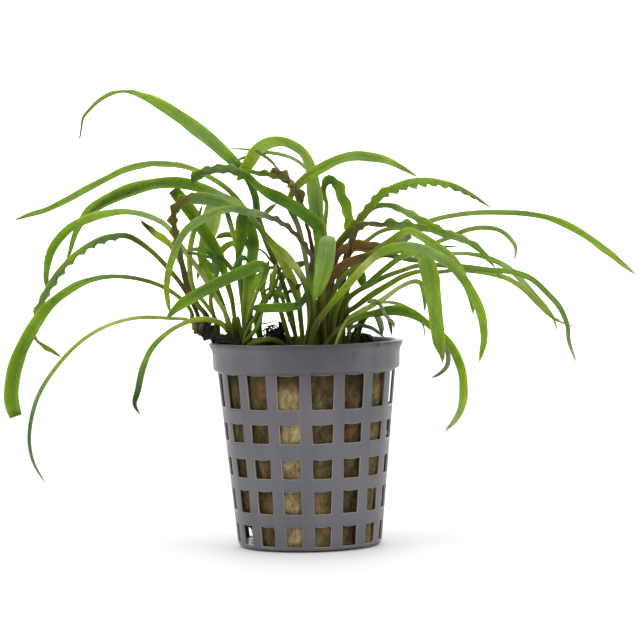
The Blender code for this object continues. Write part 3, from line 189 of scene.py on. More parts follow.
        (9, 59.2, -2.5, 1.3), (11, 62.6, -4, 1.3), (15, 65.3, -6, 1.4), (20, 69.4, -9, 1.5),
        (24.5, 72.6, -12, 1.8), (28, 74, -14.5, 2.8), (30.6, 72.8, -16.5, 4.2), (31.6, 69.5, -18, 4.9),
        (32.3, 65.8, -19, 4.9), (33, 60.5, -20, 4.2), (33.5, 55, -21, 3.7), (34, 50.5, -22, 3.1),
        (34.7, 47.6, -22, 1.5), (34.7, 45.4, -22, 0.3))),
    ("leaf_29", "light", (8.4, -6.4, STEM_FOOT), (45, 60), (
        (10.6, 56.8, -7.5, 1.3), (16.1, 60, -9, 1.4), (20.2, 62.3, -10, 1.4), (24.3, 65.1, -11, 1.2),
        (28, 66.5, -12, 1.3), (29.6, 66, -12.5, 1.4), (30.2, 63.5, -13, 1.2), (30.5, 60.8, -13, 0.9),
        (30.4, 58.2, -13, 0.3))),
    ("leaf_30", "light", (9.2, 8.4, STEM_FOOT), (45, 62), (
        (10.2, 64.8, 10, 1), (13, 68.1, 11, 1.1), (16.2, 71.2, 12, 1.2), (20, 73.3, 12.5, 1.4),
        (23.5, 72.9, 12.5, 1.7), (28.3, 71.9, 12.5, 1.6), (33.5, 72.6, 12.5, 1.3),
        (38.7, 73.4, 13, 1.1), (43.5, 73, 14, 1.2), (48, 71.6, 14.5, 1.6), (52.2, 69.3, 15, 1.9),
        (55.5, 65.9, 15.5, 1.9), (58.8, 62, 16, 1.7), (61.7, 58.6, 16.5, 1.3), (63.4, 56, 17, 0.9),
        (64.2, 52.8, 17, 0.3))),
    ("leaf_31", "light", (9.4, -1, STEM_FOOT), (45, 60), (
        (10.4, 58.6, -0.8, 1.6), (13, 60.4, -1, 1.9), (17.1, 63.3, -1.2, 2), (21.2, 65.7, -2, 1.8),
        (25, 67.8, -2.5, 1.6), (29.5, 69, -2.5, 1.2), (34, 68.7, -1, 1.1), (38, 69.1, 0.5, 1.2),
        (43, 68.8, 2, 1.3), (48, 67.9, 3, 1.4), (52, 66.6, 4, 1.5), (56, 63.8, 5, 1.5),
        (59.5, 60, 6, 1.5), (62.5, 57, 7, 1.1), (65.5, 55.2, 8, 0.6), (69, 54.1, 9, 0.3))),
    ("leaf_32", "dark", (9.8, 3.6, STEM_FOOT), (45, 60), (
        (10.4, 60.8, 3.6, 1), (13, 63.9, 3.4, 1.2), (16.5, 65.7, 3, 1.3), (20.4, 67.8, 2.5, 1.4),
        (24.5, 69.2, 1.5, 1.3), (29, 70.5, 0, 1.3), (34.5, 70.5, -2, 1.4), (40.8, 69.9, -4, 1.6),
        (47.1, 69, -6, 1.6), (53.4, 68.3, -8, 1.7), (57.7, 66.6, -9, 1.8), (61.7, 62.9, -10, 1.8),
        (64.8, 59.3, -11, 1.6), (66.8, 54.5, -12, 1.3), (67.1, 50.5, -12, 1.1), (69, 44.7, -13, 0.3))),
    ("leaf_33", "light", (6.8, 8.6, STEM_FOOT), (45, 60), (
        (8.4, 62.8, 12, 1), (13, 68, 14.5, 1), (19.5, 73.8, 17, 1), (24, 75.3, 18.5, 1),
        (28, 74.9, 19.5, 1), (32, 75.8, 20, 1.1), (36, 77.1, 21, 1.3), (42, 79.4, 22, 1.4),
        (46.5, 79.8, 23, 1.4), (50, 79, 24, 1.3), (52.5, 77, 25, 1.3), (54, 74.4, 26, 1.1),
        (53.4, 70.9, 26, 0.3))),
    ("leaf_34", "dark", (4.6, -10.4, STEM_FOOT), (45, 66), (
        (7.4, 53.6, -10.6, 1.5), (10.2, 55.8, -10.8, 1.7), (13.5, 57.4, -11.2, 1.9),
        (17.2, 58.6, -12, 2), (21.6, 59.3, -13, 2.6), (25.5, 59, -14, 2.8), (29, 57.2, -15, 2.5),
        (33, 54, -16, 2.1), (36.5, 50.5, -17, 2.3), (38.8, 46, -18, 2.5), (40, 40.5, -19, 2.5),
        (39.6, 35, -20, 2.2), (38, 31.3, -20.5, 1.6), (34.9, 27.8, -21, 0.3))),
    ("leaf_35", "dark", (11, -4.4, STEM_FOOT), (45, 62), (
        (14.6, 57.2, -5.5, 1), (19, 58.3, -6.5, 1.2), (24, 58.3, -7.5, 1.2), (28.5, 57, -8.5, 1.3),
        (32, 54.5, -9.5, 1.2), (35, 51.3, -10.5, 1.2), (36.2, 47.8, -11, 1.3), (35.9, 44.8, -11.5, 1.2),
        (34, 42.8, -12, 0.9), (31.5, 41.6, -12, 0.3))),
    ("leaf_36", "light", (10.6, 1.6, STEM_FOOT), (45, 60), (
        (13, 58.4, 1.8, 0.9), (18, 61, 2, 0.9), (21.5, 61.3, 2, 0.9), (24.9, 60.4, 1.5, 1),
        (28.3, 58, 1, 1), (30, 55.2, 0.5, 0.5), (30.5, 51.2, 0, 0.3))),
    ("leaf_37", "light", (5.6, 6.6, STEM_FOOT), (45, 60), (
        (7.6, 64, 9, 1), (9.6, 70, 11.5, 1.1), (12.4, 74.6, 13, 1.1), (16.5, 77.4, 14, 1.2),
        (19.2, 79.2, 14.5, 1.2), (23, 80.2, 15, 1.3), (28, 79.9, 16, 1.4), (32, 79.4, 17, 1.1),
        (35, 78.4, 17, 0.3))),
    ("leaf_38", "dark", (11.4, 6, STEM_FOOT), (50, 64), (
        (10.6, 61, 6.2, 1.2), (11, 65.4, 6, 1.5), (12.4, 68.8, 6, 2.3), (13.9, 69.1, 6, 2.8),
        (14.6, 67, 6, 2.6), (15.1, 64.6, 6, 0.5))),
    ("leaf_39", "dark", (10.6, -8.6, STEM_FOOT), (45, 60), (
        (11.4, 54.8, -8.6, 1), (14, 55.5, -8.6, 1.1), (16.6, 54.9, -8.6, 1.1), (18.6, 53.6, -8.6, 0.9),
        (20.4, 52, -8.4, 0.3))),
    ("leaf_40", "dark", (7.2, -11.6, STEM_FOOT), (45, 60), (
        (10.6, 56.9, -13, 0.9), (13.4, 58.4, -14, 0.9), (16.1, 60.1, -15, 0.9), (17.9, 61.4, -16, 1),
        (18.9, 61, -16.5, 1), (19.9, 59, -17.5, 1), (21.2, 57.1, -18.5, 1), (22.4, 55.9, -19, 0.9),
        (22.5, 54.2, -19, 0.4))),
    ("leaf_41", "dark", (12.8, -1.6, STEM_FOOT), (45, 60), (
        (15.5, 57.4, -1.5, 0.9), (19, 58.9, -1, 1), (21, 57.4, -0.5, 1.1), (21.7, 55, 0, 1),
        (21.9, 52.6, 0, 0.5))),
    ("leaf_42", "light", (12.6, 1.6, STEM_FOOT), (60, 70), (
        (14.8, 57.2, 5, 1.1), (17.2, 58.7, 7, 1.3), (18.7, 57, 8, 1.8), (19.3, 54.8, 8.5, 1.6),
        (19.6, 52.8, 8.5, 0.5))),
    ("leaf_43", "dark", (-10.8, -0.4, STEM_FOOT), (50, 64), (
        (-12, 54.6, -0.6, 2.4), (-11.9, 58.4, -1.2, 2.6), (-10.6, 62, -2.2, 1.8), (-8, 64.4, -3.2, 1.8),
        (-6, 63.8, -4.2, 1.6), (-4.4, 62.2, -5, 0.5))),
    ("leaf_44", "light", (-0.4, -5.6, STEM_FOOT), (50, 66), (
        (1.4, 58, -6.5, 1.3), (1.7, 62.4, -7.5, 1.4), (1.1, 65.4, -9, 1.4), (0.2, 63.4, -10.5, 1.7),
        (-1.4, 61.2, -11.5, 2.3), (-4, 60.6, -12, 2.5), (-8, 60.5, -13, 2.5), (-12.2, 60.5, -14, 2.2),
        (-13.4, 60.5, -14.3, 0.9))),
    ("leaf_45", "dark", (-15.8, 1.8, 52.6), (50, 66), (
        (-15.9, 60, 1, 1.2), (-16.5, 67, 0.5, 1.3), (-16.9, 72.8, 0, 1.4), (-16.2, 76.6, -0.5, 3),
        (-15.7, 80.5, -1, 3.9), (-15.4, 84.2, -2, 3), (-15.3, 85.8, -2, 0.5))),
    ("leaf_46", "light", (-22.4, -0.4, 56.8), (45, 62), (
        (-25.2, 61.5, -0.5, 1.1), (-28.5, 66, -1.5, 1.4), (-29.2, 71, -2, 1.5), (-29, 76, -2, 1.6),
        (-27.6, 81.5, -2, 1.4), (-25.5, 87.5, -2, 0.4))),
    ("leaf_47", "brown", (-22.6, -4.2, 56.2), (45, 62), (
        (-24.1, 63, -6, 1.2), (-22.6, 68.4, -7, 1.3), (-23, 73.2, -9, 1.4), (-24.3, 75, -10, 1.4),
        (-26.1, 75.7, -11, 1.3), (-28.2, 75.8, -12, 1), (-30.4, 75.7, -13, 0.4))),
    ("leaf_48", "dark", (-5.2, -1.8, STEM_FOOT + 0.2), (45, 60), (
        (-7.8, 52.1, -2.6, 1.5), (-10.4, 52.4, -3.6, 1.6), (-12.9, 51.9, -4.8, 1.5),
        (-15.6, 50.9, -6, 0.4))),
    ("leaf_49", "light", (0, 7.8, STEM_FOOT), (45, 60), (
        (2.4, 62, 9.5, 1), (3, 74, 10.5, 1), (3.2, 86, 11, 1), (2.4, 93.5, 11, 1), (-0.6, 97.3, 11, 1),
        (-4.3, 99.2, 12, 1.1), (-9.9, 100.3, 13, 1), (-13.6, 100.9, 14, 0.7), (-18.9, 101.3, 15, 0.3))),
    ("leaf_50", "green", (-14.3, 0.6, 53), (60, 60), (
        (-15.3, 57.6, -0.8, 1.7), (-14.6, 61.8, -1.5, 3.2), (-14.2, 66.1, -1, 3.7),
        (-13.4, 72.5, 1.5, 3.3), (-12.9, 77.6, 4.5, 3.3), (-13.3, 81, 6.5, 2.7), (-14.6, 84, 7, 0.5))),
    ("leaf_51", "light", (-19.4, 4.2, 52.6), (50, 66), (
        (-20.6, 60, 7, 1.3), (-23.2, 67, 9.5, 1.8), (-26, 73.4, 12, 2.8), (-25.2, 77, 14, 3.9),
        (-24, 80.6, 15.5, 4.8), (-23.3, 84.2, 16.5, 5.2), (-22.9, 87, 17, 3.6),
        (-22.7, 89.2, 17, 0.5))),
    ("leaf_52", "light", (-14.6, 4.2, 52.6), (50, 60), (
        (-15.6, 62, 7, 1.2), (-16.3, 70, 9, 1.3), (-16.6, 74.6, 11, 1.6), (-17.7, 77, 12, 2),
        (-19.6, 76.6, 12.5, 2.2), (-21.3, 75, 13, 2.2), (-22.8, 73, 13.5, 1.6),
        (-23.8, 71.4, 14, 0.5))),
    ("leaf_53", "light", (-15.6, 4.6, 52.6), (45, 60), (
        (-16, 62, 3, 1.1), (-16.5, 70, 3, 1.2), (-16.8, 75.4, 3, 1.3), (-17.6, 78.3, 3, 1.4),
        (-18.4, 81.2, 3, 1.4), (-19.2, 84.2, 3, 1.4), (-20.4, 87.6, 2, 0.5))),
    ("leaf_54", "dark", (-14.4, 3, 52.6), (45, 60), (
        (-13.6, 62, 5, 1.1), (-13.2, 70, 6, 1.2), (-13.9, 75.8, 7, 1.5), (-15.6, 78.4, 8, 1.9),
        (-17.8, 79.1, 9, 1.6), (-19.6, 79.4, 10, 1.6), (-21.2, 79.1, 11.3, 1.5),
        (-22.7, 78.3, 12.2, 0.5))),
)
# Seen face on: the blade keeps to the heading from its foot to its tip.
FACING_LEAVES = ("leaf_18",)
# These end in a short straight edge and not in a point.
BLUNT_LEAVES = ("leaf_06", "leaf_13", "leaf_25", "leaf_44")

# Tones by name, as they look on a screen
TONES = {
    "bright": (0.51, 0.61, 0.23),
    "fresh": (0.44, 0.56, 0.16),
    "mid": (0.39, 0.52, 0.12),
    "green": (0.34, 0.47, 0.06),
    "deep": (0.26, 0.40, 0.03),
    "dark": (0.19, 0.31, 0.03),
    "slate": (0.32, 0.43, 0.20),
    "grey_green": (0.42, 0.53, 0.24),
    "pale": (0.60, 0.68, 0.42),
    "yellow": (0.58, 0.64, 0.22),
    "lime": (0.48, 0.58, 0.08),
    "olive": (0.40, 0.45, 0.11),
    "dull_olive": (0.29, 0.29, 0.07),
    "brown": (0.27, 0.22, 0.07),
    "red_brown": (0.36, 0.23, 0.12),
    "purple": (0.36, 0.31, 0.23),
    "mauve": (0.56, 0.54, 0.45),
    "ash": (0.47, 0.52, 0.35),
    "black": (0.13, 0.11, 0.04),
    "straw": (0.69, 0.73, 0.40),
}
# The studio light makes a leaf look this much brighter than its own tone.
LEAF_LIGHT_GAIN = 1.12

# Tones along each leaf from foot to tip: share of the length and tone
# Many grey_green, slate, ash and pale stops are painted sheen and highlights, and some dark stops
# painted shade
LOOKS = {
    "leaf_01": (
        "0 olive, .15 olive, .22 dull_olive, .28 olive, .34 dark, .47 dark, .51 mid, "
        ".58 grey_green, .7 fresh, .84 bright, .9 bright, .96 olive, 1 brown"),
    "leaf_02": (
        "0 olive, .14 fresh, .2 yellow, .36 yellow, .4 olive, .46 fresh, .54 bright, "
        ".63 grey_green, .72 fresh, .8 grey_green, .88 fresh, .95 bright, 1 olive"),
    "leaf_03": (
        "0 dull_olive, .1 dull_olive, .17 olive, .23 straw, .3 lime, .37 green, .44 bright, "
        ".49 ash, .54 green, .61 deep, .68 mid, .79 green, .87 fresh, 1 fresh"),
    "leaf_04": (
        "0 brown, .05 yellow, .14 straw, .3 straw, .38 yellow, .45 pale, .58 bright, .7 fresh, "
        ".85 green, 1 mid"),
    "leaf_05": (
        "0 dull_olive, .12 dull_olive, .2 olive, .3 olive, .37 dull_olive, .42 slate, "
        ".5 slate, .58 mid, .66 slate, .8 slate, .86 dark, .9 olive, .95 lime, 1 olive"),
    "leaf_06": (
        "0 olive, .12 fresh, .25 olive, .4 grey_green, .48 fresh, .57 green, .68 mid, "
        ".8 green, .91 green, .97 mid, 1 dull_olive"),
    "leaf_07": (
        "0 dull_olive, .03 olive, .07 yellow, .2 yellow, .3 straw, .5 yellow, .7 grey_green, "
        ".85 slate, 1 ash"),
    "leaf_08": (
        "0 straw, .1 straw, .2 yellow, .42 yellow, .55 bright, .62 mid, .72 fresh, .84 slate, "
        ".92 dark, 1 dull_olive"),
    "leaf_09": "0 fresh, .25 olive, .46 olive, .56 yellow, .82 yellow, .9 brown, 1 brown",
    "leaf_10": (
        "0 brown, .06 brown, .1 olive, .18 brown, .32 brown, .38 dull_olive, .5 brown, "
        ".6 brown, .68 dull_olive, .74 slate, .86 slate, .94 mid, 1 olive"),
    "leaf_11": (
        "0 olive, .11 dull_olive, .2 fresh, .26 brown, .31 purple, .38 brown, .42 purple, "
        ".47 purple, .51 ash, .56 slate, .62 grey_green, .8 grey_green, .89 lime, 1 lime"),
    "leaf_12": (
        "0 yellow, .1 bright, .28 bright, .36 grey_green, .42 green, .47 deep, .54 green, "
        ".62 deep, .78 deep, .9 green, 1 mid"),
    "leaf_13": (
        "0 olive, .12 olive, .2 fresh, .32 fresh, .42 green, .52 deep, .7 green, .86 deep, "
        "1 dark"),
    "leaf_14": (
        "0 brown, .16 dull_olive, .3 fresh, .4 mid, .47 slate, .56 grey_green, .64 bright, "
        ".72 grey_green, .79 fresh, .85 bright, .92 lime, .97 deep, 1 deep"),
    "leaf_15": (
        "0 olive, .37 olive, .46 brown, .56 brown, .64 olive, .73 dull_olive, .79 brown, "
        ".86 olive, .93 green, 1 green"),
    "leaf_16": (
        "0 brown, .17 dull_olive, .3 grey_green, .4 mid, .46 deep, .6 deep, .66 dark, "
        ".71 green, .77 dark, .83 slate, .91 slate, .95 dark, 1 black"),
    "leaf_17": (
        "0 olive, .25 olive, .36 ash, .41 ash, .47 deep, .55 olive, .61 mid, .7 fresh, "
        ".8 grey_green, .88 bright, 1 fresh"),
    # The pale stop at .62 is a painted highlight on the rounded top
    "leaf_18": (
        "0 olive, .26 dull_olive, .42 mid, .5 ash, .57 ash, .62 pale, .70 grey_green, "
        ".8 grey_green, .9 fresh, 1 mid"),
    "leaf_19": (
        "0 brown, .22 dull_olive, .34 fresh, .44 bright, .58 bright, .64 mid, .68 dark, "
        ".74 dark, .79 mid, .84 green, .9 fresh, 1 mid"),
    "leaf_20": (
        "0 black, .2 brown, .36 brown, .42 dull_olive, .5 olive, .56 green, .63 mid, .8 fresh, "
        ".89 grey_green, 1 olive"),
    "leaf_21": (
        "0 olive, .29 dull_olive, .39 brown, .46 olive, .56 grey_green, .65 grey_green, "
        ".7 green, .77 mid, .84 grey_green, .92 mid, 1 fresh"),
    "leaf_22": (
        "0 brown, .3 dull_olive, .42 dull_olive, .5 brown, .56 purple, .61 purple, "
        ".65 dull_olive, .7 purple, .76 dull_olive, .84 slate, .9 mid, 1 olive"),
    "leaf_23": (
        "0 dull_olive, .12 olive, .22 fresh, .34 fresh, .4 bright, .54 bright, .62 fresh, "
        ".8 fresh, .88 bright, .95 bright, 1 pale"),
    "leaf_24": (
        "0 brown, .2 brown, .32 red_brown, .5 red_brown, .56 brown, .62 olive, .72 lime, "
        ".86 bright, 1 olive"),
    "leaf_25": (
        "0 red_brown, .3 dull_olive, .45 red_brown, .76 red_brown, .83 olive, .88 slate, "
        ".93 mauve, 1 mauve"),
    "leaf_26": (
        "0 dull_olive, .08 dull_olive, .14 olive, .22 lime, .3 yellow, .36 straw, .42 mid, "
        ".47 fresh, .54 grey_green, .65 grey_green, .73 mid, .8 fresh, 1 lime"),
    "leaf_27": (
        "0 dull_olive, .12 olive, .25 lime, .36 lime, .44 green, .55 lime, .62 bright, "
        ".68 fresh, .78 grey_green, .86 mid, 1 mid"),
    "leaf_28": (
        "0 olive, .1 dull_olive, .2 olive, .3 fresh, .46 mid, .56 bright, .66 fresh, .8 fresh, "
        ".92 mid, 1 grey_green"),
    "leaf_29": "0 olive, .2 fresh, .34 yellow, .5 straw, .68 straw, .85 bright, 1 ash",
    "leaf_30": (
        "0 olive, .2 lime, .28 straw, .35 olive, .42 grey_green, .48 grey_green, .54 pale, "
        ".62 bright, .7 bright, .8 pale, .9 bright, 1 pale"),
    "leaf_31": (
        "0 brown, .1 dull_olive, .2 olive, .32 lime, .42 lime, .52 fresh, .66 yellow, "
        ".78 yellow, .86 bright, .93 olive, 1 ash"),
    "leaf_32": (
        "0 olive, .1 mid, .16 bright, .22 bright, .27 mid, .35 bright, .5 fresh, .75 fresh, "
        ".84 grey_green, .92 grey_green, 1 pale"),
    "leaf_33": "0 olive, .18 fresh, .26 bright, .4 olive, .5 fresh, .6 bright, .84 bright, 1 pale",
    "leaf_34": (
        "0 dull_olive, .1 dull_olive, .17 olive, .24 green, .32 dark, .4 deep, .5 mid, "
        ".6 fresh, .7 green, .78 lime, .9 bright, 1 pale"),
    "leaf_35": "0 dark, .25 dark, .38 grey_green, .5 bright, .62 mid, .72 ash, .85 ash, 1 purple",
    "leaf_36": "0 olive, .25 yellow, .45 straw, .65 straw, .77 mid, .88 olive, 1 ash",
    "leaf_37": (
        "0 green, .28 dull_olive, .36 brown, .44 dull_olive, .55 bright, .75 bright, "
        ".85 fresh, 1 pale"),
    "leaf_38": "0 olive, .45 olive, .6 mid, .7 green, .85 deep, 1 dark",
    "leaf_39": "0 black, .25 dark, .45 ash, .6 dark, .8 ash, 1 slate",
    "leaf_40": "0 olive, .2 straw, .45 fresh, .6 yellow, .7 slate, .8 ash, .9 ash, 1 slate",
    "leaf_41": "0 dark, .35 dark, .55 ash, .75 slate, 1 slate",
    "leaf_42": "0 dark, .4 deep, .6 ash, .8 pale, 1 slate",
    "leaf_43": "0 dark, .3 dark, .56 deep, .72 deep, .86 green, 1 green",
    "leaf_44": "0 dull_olive, .24 olive, .4 slate, .5 green, .6 dark, .72 deep, .84 green, 1 deep",
    "leaf_45": "0 olive, .2 bright, .35 mid, .5 slate, .62 deep, .82 deep, .9 dark, 1 dark",
    "leaf_46": "0 brown, .06 dull_olive, .15 yellow, .7 yellow, .82 mid, 1 slate",
    "leaf_47": "0 brown, .14 brown, .22 olive, .48 mid, .67 slate, .75 dark, .83 mid, 1 bright",
    "leaf_48": "0 black, .3 dull_olive, .6 olive, .85 fresh, 1 fresh",
    "leaf_49": (
        "0 dull_olive, .17 dull_olive, .35 mid, .6 fresh, .68 pale, .78 pale, .86 lime, "
        ".93 grey_green, 1 grey_green"),
    "leaf_50": (
        "0 dull_olive, .1 olive, .2 lime, .34 bright, .44 fresh, .52 deep, .64 mid, .78 dark, "
        ".9 green, 1 deep"),
    "leaf_51": (
        "0 brown, .18 brown, .3 olive, .42 fresh, .57 fresh, .67 bright, .77 pale, .92 pale, "
        "1 mid"),
    "leaf_52": "0 brown, .28 fresh, .52 fresh, .66 bright, .78 bright, .86 fresh, .94 deep, 1 mid",
    "leaf_53": "0 brown, .26 bright, .48 fresh, .64 fresh, .78 yellow, .9 slate, 1 mid",
    "leaf_54": "0 olive, .27 mid, .5 fresh, .6 deep, .78 deep, .86 green, 1 mid",
    "link": "0 slate, 1 dark",
    "blotch": "0 lime, .6 lime, 1 olive",
    "band": "0 fresh, .4 lime, .7 olive, 1 mid",
    "rise": "0 dull_olive, .4 mid, 1 fresh",
    "arc": "0 slate, .5 slate, 1 dark",
    "bar": "0 mid, .5 fresh, 1 green",
    "cross_band": "0 lime, .5 yellow, 1 mid",
    "inner_stem": "0 olive, .4 lime, .8 yellow, 1 lime",
    "inner_twig": "0 mid, 1 deep",
    "dark_wedge": "0 dark, 1 deep",
    "foot_stem": "0 dull_olive, .4 olive, 1 mid",
    "side_stem": "0 olive, .5 lime, 1 fresh",
    "cross_stem": "0 mid, .5 olive, 1 deep",
    "yellow_stem": "0 mid, .5 lime, 1 yellow",
    "lime_blade": "0 lime, .6 yellow, 1 lime",
    "red_sheath": "0 dull_olive, .3 brown, .6 red_brown, 1 dull_olive",
    "slip": "0 mid, 1 olive",
    "olive_arc": "0 olive, 1 fresh",
    "grey_arc": "0 slate, .6 grey_green, 1 purple",
    "lower_arc": "0 slate, .5 mid, 1 dark",
    "lime_slope": "0 mid, .4 lime, 1 olive",
    "green_strip": "0 deep, .5 olive, 1 lime",
    "dark_slope": "0 dark, .5 deep, 1 olive",
    "lime_strip": "0 lime, .6 lime, 1 slate",
    "sheath_left": "0 brown, .3 brown, .6 olive, 1 lime",
    "sheath_middle": "0 black, .35 brown, .7 olive, 1 olive",
    "sheath_right": "0 brown, .3 olive, .7 olive, 1 lime",
    "sheath_far": "0 dull_olive, .3 brown, .7 brown, 1 mid",
    # Pale middle: a painted highlight
    "highlight_blob": "0 olive, .4 pale, 1 dark",
    "brown_curl": "0 purple, .4 purple, .6 brown, 1 brown",
    "purple_curl": "0 brown, .5 purple, 1 purple",
    "dark_curl": "0 slate, .4 deep, 1 dark",
}

# Crinkled stretches: leaf, from and to as shares of the length, which edges (-1 left of the
# growing direction, 1 right, 0 both), height in millimetres, pitch, and how far lobes stick out
CRINKLES = (
    ("leaf_05", 0.42, 0.74, 1, 1.00, 3.4, 1.00),
    ("leaf_05", 0.74, 0.98, 0, 0.50, 3.8, 0.35),
    ("leaf_10", 0.40, 0.70, 0, 0.55, 3.0, 0.50),
    ("leaf_11", 0.24, 0.47, 0, 0.70, 3.6, 0.75),
    ("leaf_15", 0.52, 1.00, 0, 0.55, 3.4, 0.55),
    ("leaf_16", 0.80, 1.00, 0, 0.40, 3.0, 0.35),
    ("leaf_19", 0.60, 0.98, 0, 0.45, 4.6, 0.26),
    ("leaf_20", 0.42, 0.60, 0, 0.35, 3.2, 0.22),
    ("leaf_20", 0.58, 0.99, -1, 0.75, 2.9, 0.80),
    ("leaf_21", 0.50, 0.98, 0, 0.30, 4.2, 0.20),
    ("leaf_22", 0.45, 1.00, 0, 0.70, 4.2, 0.60),
    ("leaf_25", 0.45, 0.85, 0, 0.20, 4.6, 0.15),
    ("leaf_09", 0.45, 1.00, 0, 0.25, 3.6, 0.20),
    ("leaf_31", 0.80, 1.00, 0, 0.15, 2.0, 0.30),
    ("brown_curl", 0.0, 1.0, 0, 0.50, 2.6, 0.30),
    ("purple_curl", 0.0, 1.0, 0, 0.50, 2.6, 0.30),
    ("dark_curl", 0.0, 1.0, 0, 0.40, 2.2, 0.20),
)

# Dark patches: leaf, start and end share, place and reach across the blade, strength and tone
LEAF_DARK_PATCHES = (
    ("leaf_03", 0.64, 0.86, -0.15, 0.42, 1.15, "dark"),
    ("leaf_03", 0.70, 0.88, 0.25, 0.30, 0.90, "black"),
    ("leaf_16", 0.78, 0.98, 0.50, 0.50, 0.50, "black"),
    ("leaf_20", 0.60, 0.97, -0.95, 0.35, 0.75, "dark"),
    ("leaf_19", 0.62, 0.99, 0.80, 0.50, 0.50, "dark"),
    ("leaf_05", 0.42, 0.80, 0.90, 0.45, 0.70, "slate"),
    # Painted shade: the darker band along one edge of leaf_01's folded blade
    ("leaf_01", 0.52, 0.90, 0.95, 0.35, 0.35, "dark"),
)

# Stations along a leaf, a root or the rhizome
CURVE_STEPS = 24
FEWEST_STATIONS = 16
LEAF_PITCH, LEAF_STATIONS = 0.75, 150
TUBE_PITCH, TUBE_STATIONS = 0.28, 90
HAIR_PITCH, HAIR_STATIONS = 0.5, 60


def linear(tone):
    """A tone as it looks on a screen, as the linear colour that a shader takes."""
    return tuple(c / 12.92 if c <= 0.04045 else ((c + 0.055) / 1.055) ** 2.4 for c in tone)


def smooth_step(low, high, value):
    share = np.clip((value - low) / (high - low), 0.0, 1.0)
    return share * share * (3.0 - 2.0 * share)


def seen_point(x, z, depth):
    """The real place of a point seen at x, z on the upright plane, moved back by depth."""
    on_plane = Vector((x, 0.0, z))
    return EYE + (on_plane - EYE) * ((depth - EYE.y) / -EYE.y)


def round_point(radius, degrees, height):
    """A point round the pot's axis, in millimetres."""
    turn = math.radians(degrees)
    return radius * math.cos(turn), radius * math.sin(turn), height


def smooth_route(knots, pitch, most):
    """Even stations along a centripetal curve through the knots, which are rows of numbers."""
    rows = np.array(knots, float)
    rows = np.vstack([2 * rows[0] - rows[1], rows, 2 * rows[-1] - rows[-2]])
    dense = []
    for i in range(1, len(rows) - 2):
        p0, p1, p2, p3 = rows[i - 1:i + 3]
        t1 = max(np.linalg.norm((p1 - p0)[:3]), 1e-6) ** 0.5
        t2 = t1 + max(np.linalg.norm((p2 - p1)[:3]), 1e-6) ** 0.5
        t3 = t2 + max(np.linalg.norm((p3 - p2)[:3]), 1e-6) ** 0.5
        for t in np.linspace(t1, t2, CURVE_STEPS, endpoint=False):
            a1 = (t1 - t) / t1 * p0 + t / t1 * p1
            a2 = (t2 - t) / (t2 - t1) * p1 + (t - t1) / (t2 - t1) * p2
            a3 = (t3 - t) / (t3 - t2) * p2 + (t - t2) / (t3 - t2) * p3
            b1 = (t2 - t) / t2 * a1 + t / t2 * a2
            b2 = (t3 - t) / (t3 - t1) * a2 + (t - t1) / (t3 - t1) * a3
            dense.append((t2 - t) / (t2 - t1) * b1 + (t - t1) / (t2 - t1) * b2)
    dense.append(rows[-2])
    dense = np.array(dense)
    steps = np.linalg.norm(np.diff(dense[:, :3], axis=0), axis=1)
    along = np.concatenate([[0.0], np.cumsum(steps)])
    count = int(np.clip(round(along[-1] / pitch), FEWEST_STATIONS, most))
    even = np.linspace(0.0, along[-1], count)
    return np.stack([np.interp(even, along, column) for column in dense.T], axis=1)


def unit(rows):
    return rows / np.maximum(np.linalg.norm(rows, axis=1, keepdims=True), 1e-9)


def leaf_frames(places, turn, facing):
    """The across and normal directions of the blade at each station, as the solids have them."""
    if facing:
        heading = places[-1] - places[0]
        heading[2] = 0.0
        heading /= np.linalg.norm(heading)
    else:
        heading = np.array((math.copysign(1.0, places[-1][0] - places[0][0]), 0.0, 0.0))
    side = np.cross((0.0, 0.0, 1.0), heading)
    sight = places[len(places) // 2] - np.array(EYE)
    lean = math.copysign(1.0, float(side @ sight))
    tangent = unit(np.gradient(places, axis=0))
    level = unit(side - tangent * (tangent @ side)[:, None])
    upper = np.cross(tangent, level)
    angle = np.radians(np.linspace(turn[0], turn[1], len(places)))[:, None] * lean
    across = level * np.cos(angle) + upper * np.sin(angle)
    return across, np.cross(tangent, across)


def wander(values, seed):
    """Smooth noise along a row of numbers."""
    return np.array([noise.noise(Vector((v, seed * 7.31, 3.7))) for v in values])


def tube_faces(rings, around, first=0):
    """Quads between neighbouring rings of points, and a face that closes each end."""
    faces = []
    for i in range(rings - 1):
        for k in range(around):
            a = first + i * around + k
            b = first + i * around + (k + 1) % around
            faces.append((a, b, b + around, a + around))
    last = first + (rings - 1) * around
    faces.append(tuple(range(first, first + around)))
    faces.append(tuple(range(last, last + around)))
    return faces


def new_mesh(name, points, faces, material, layer=None, colours=()):
    """A smooth object with one material and, where a layer is named, its point colours."""
    mesh = bpy.data.meshes.new(name)
    mesh.from_pydata([tuple(p) for p in points], [], faces)
    mesh.validate()
    shell = bmesh.new()
    shell.from_mesh(mesh)
    bmesh.ops.recalc_face_normals(shell, faces=shell.faces)
    shell.to_mesh(mesh)
    shell.free()
    mesh.shade_smooth()
    mesh.materials.append(material)
    if layer:
        stored = mesh.color_attributes.new(layer, "FLOAT_COLOR", "POINT")
        stored.data.foreach_set("color", np.asarray(colours, np.float32).ravel())
    thing = bpy.data.objects.new(name, mesh)
    bpy.context.scene.collection.objects.link(thing)
    return thing


def dress(thing, slot, *nodes):
    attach(thing, "root")
    if nodes:
        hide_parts(*nodes)


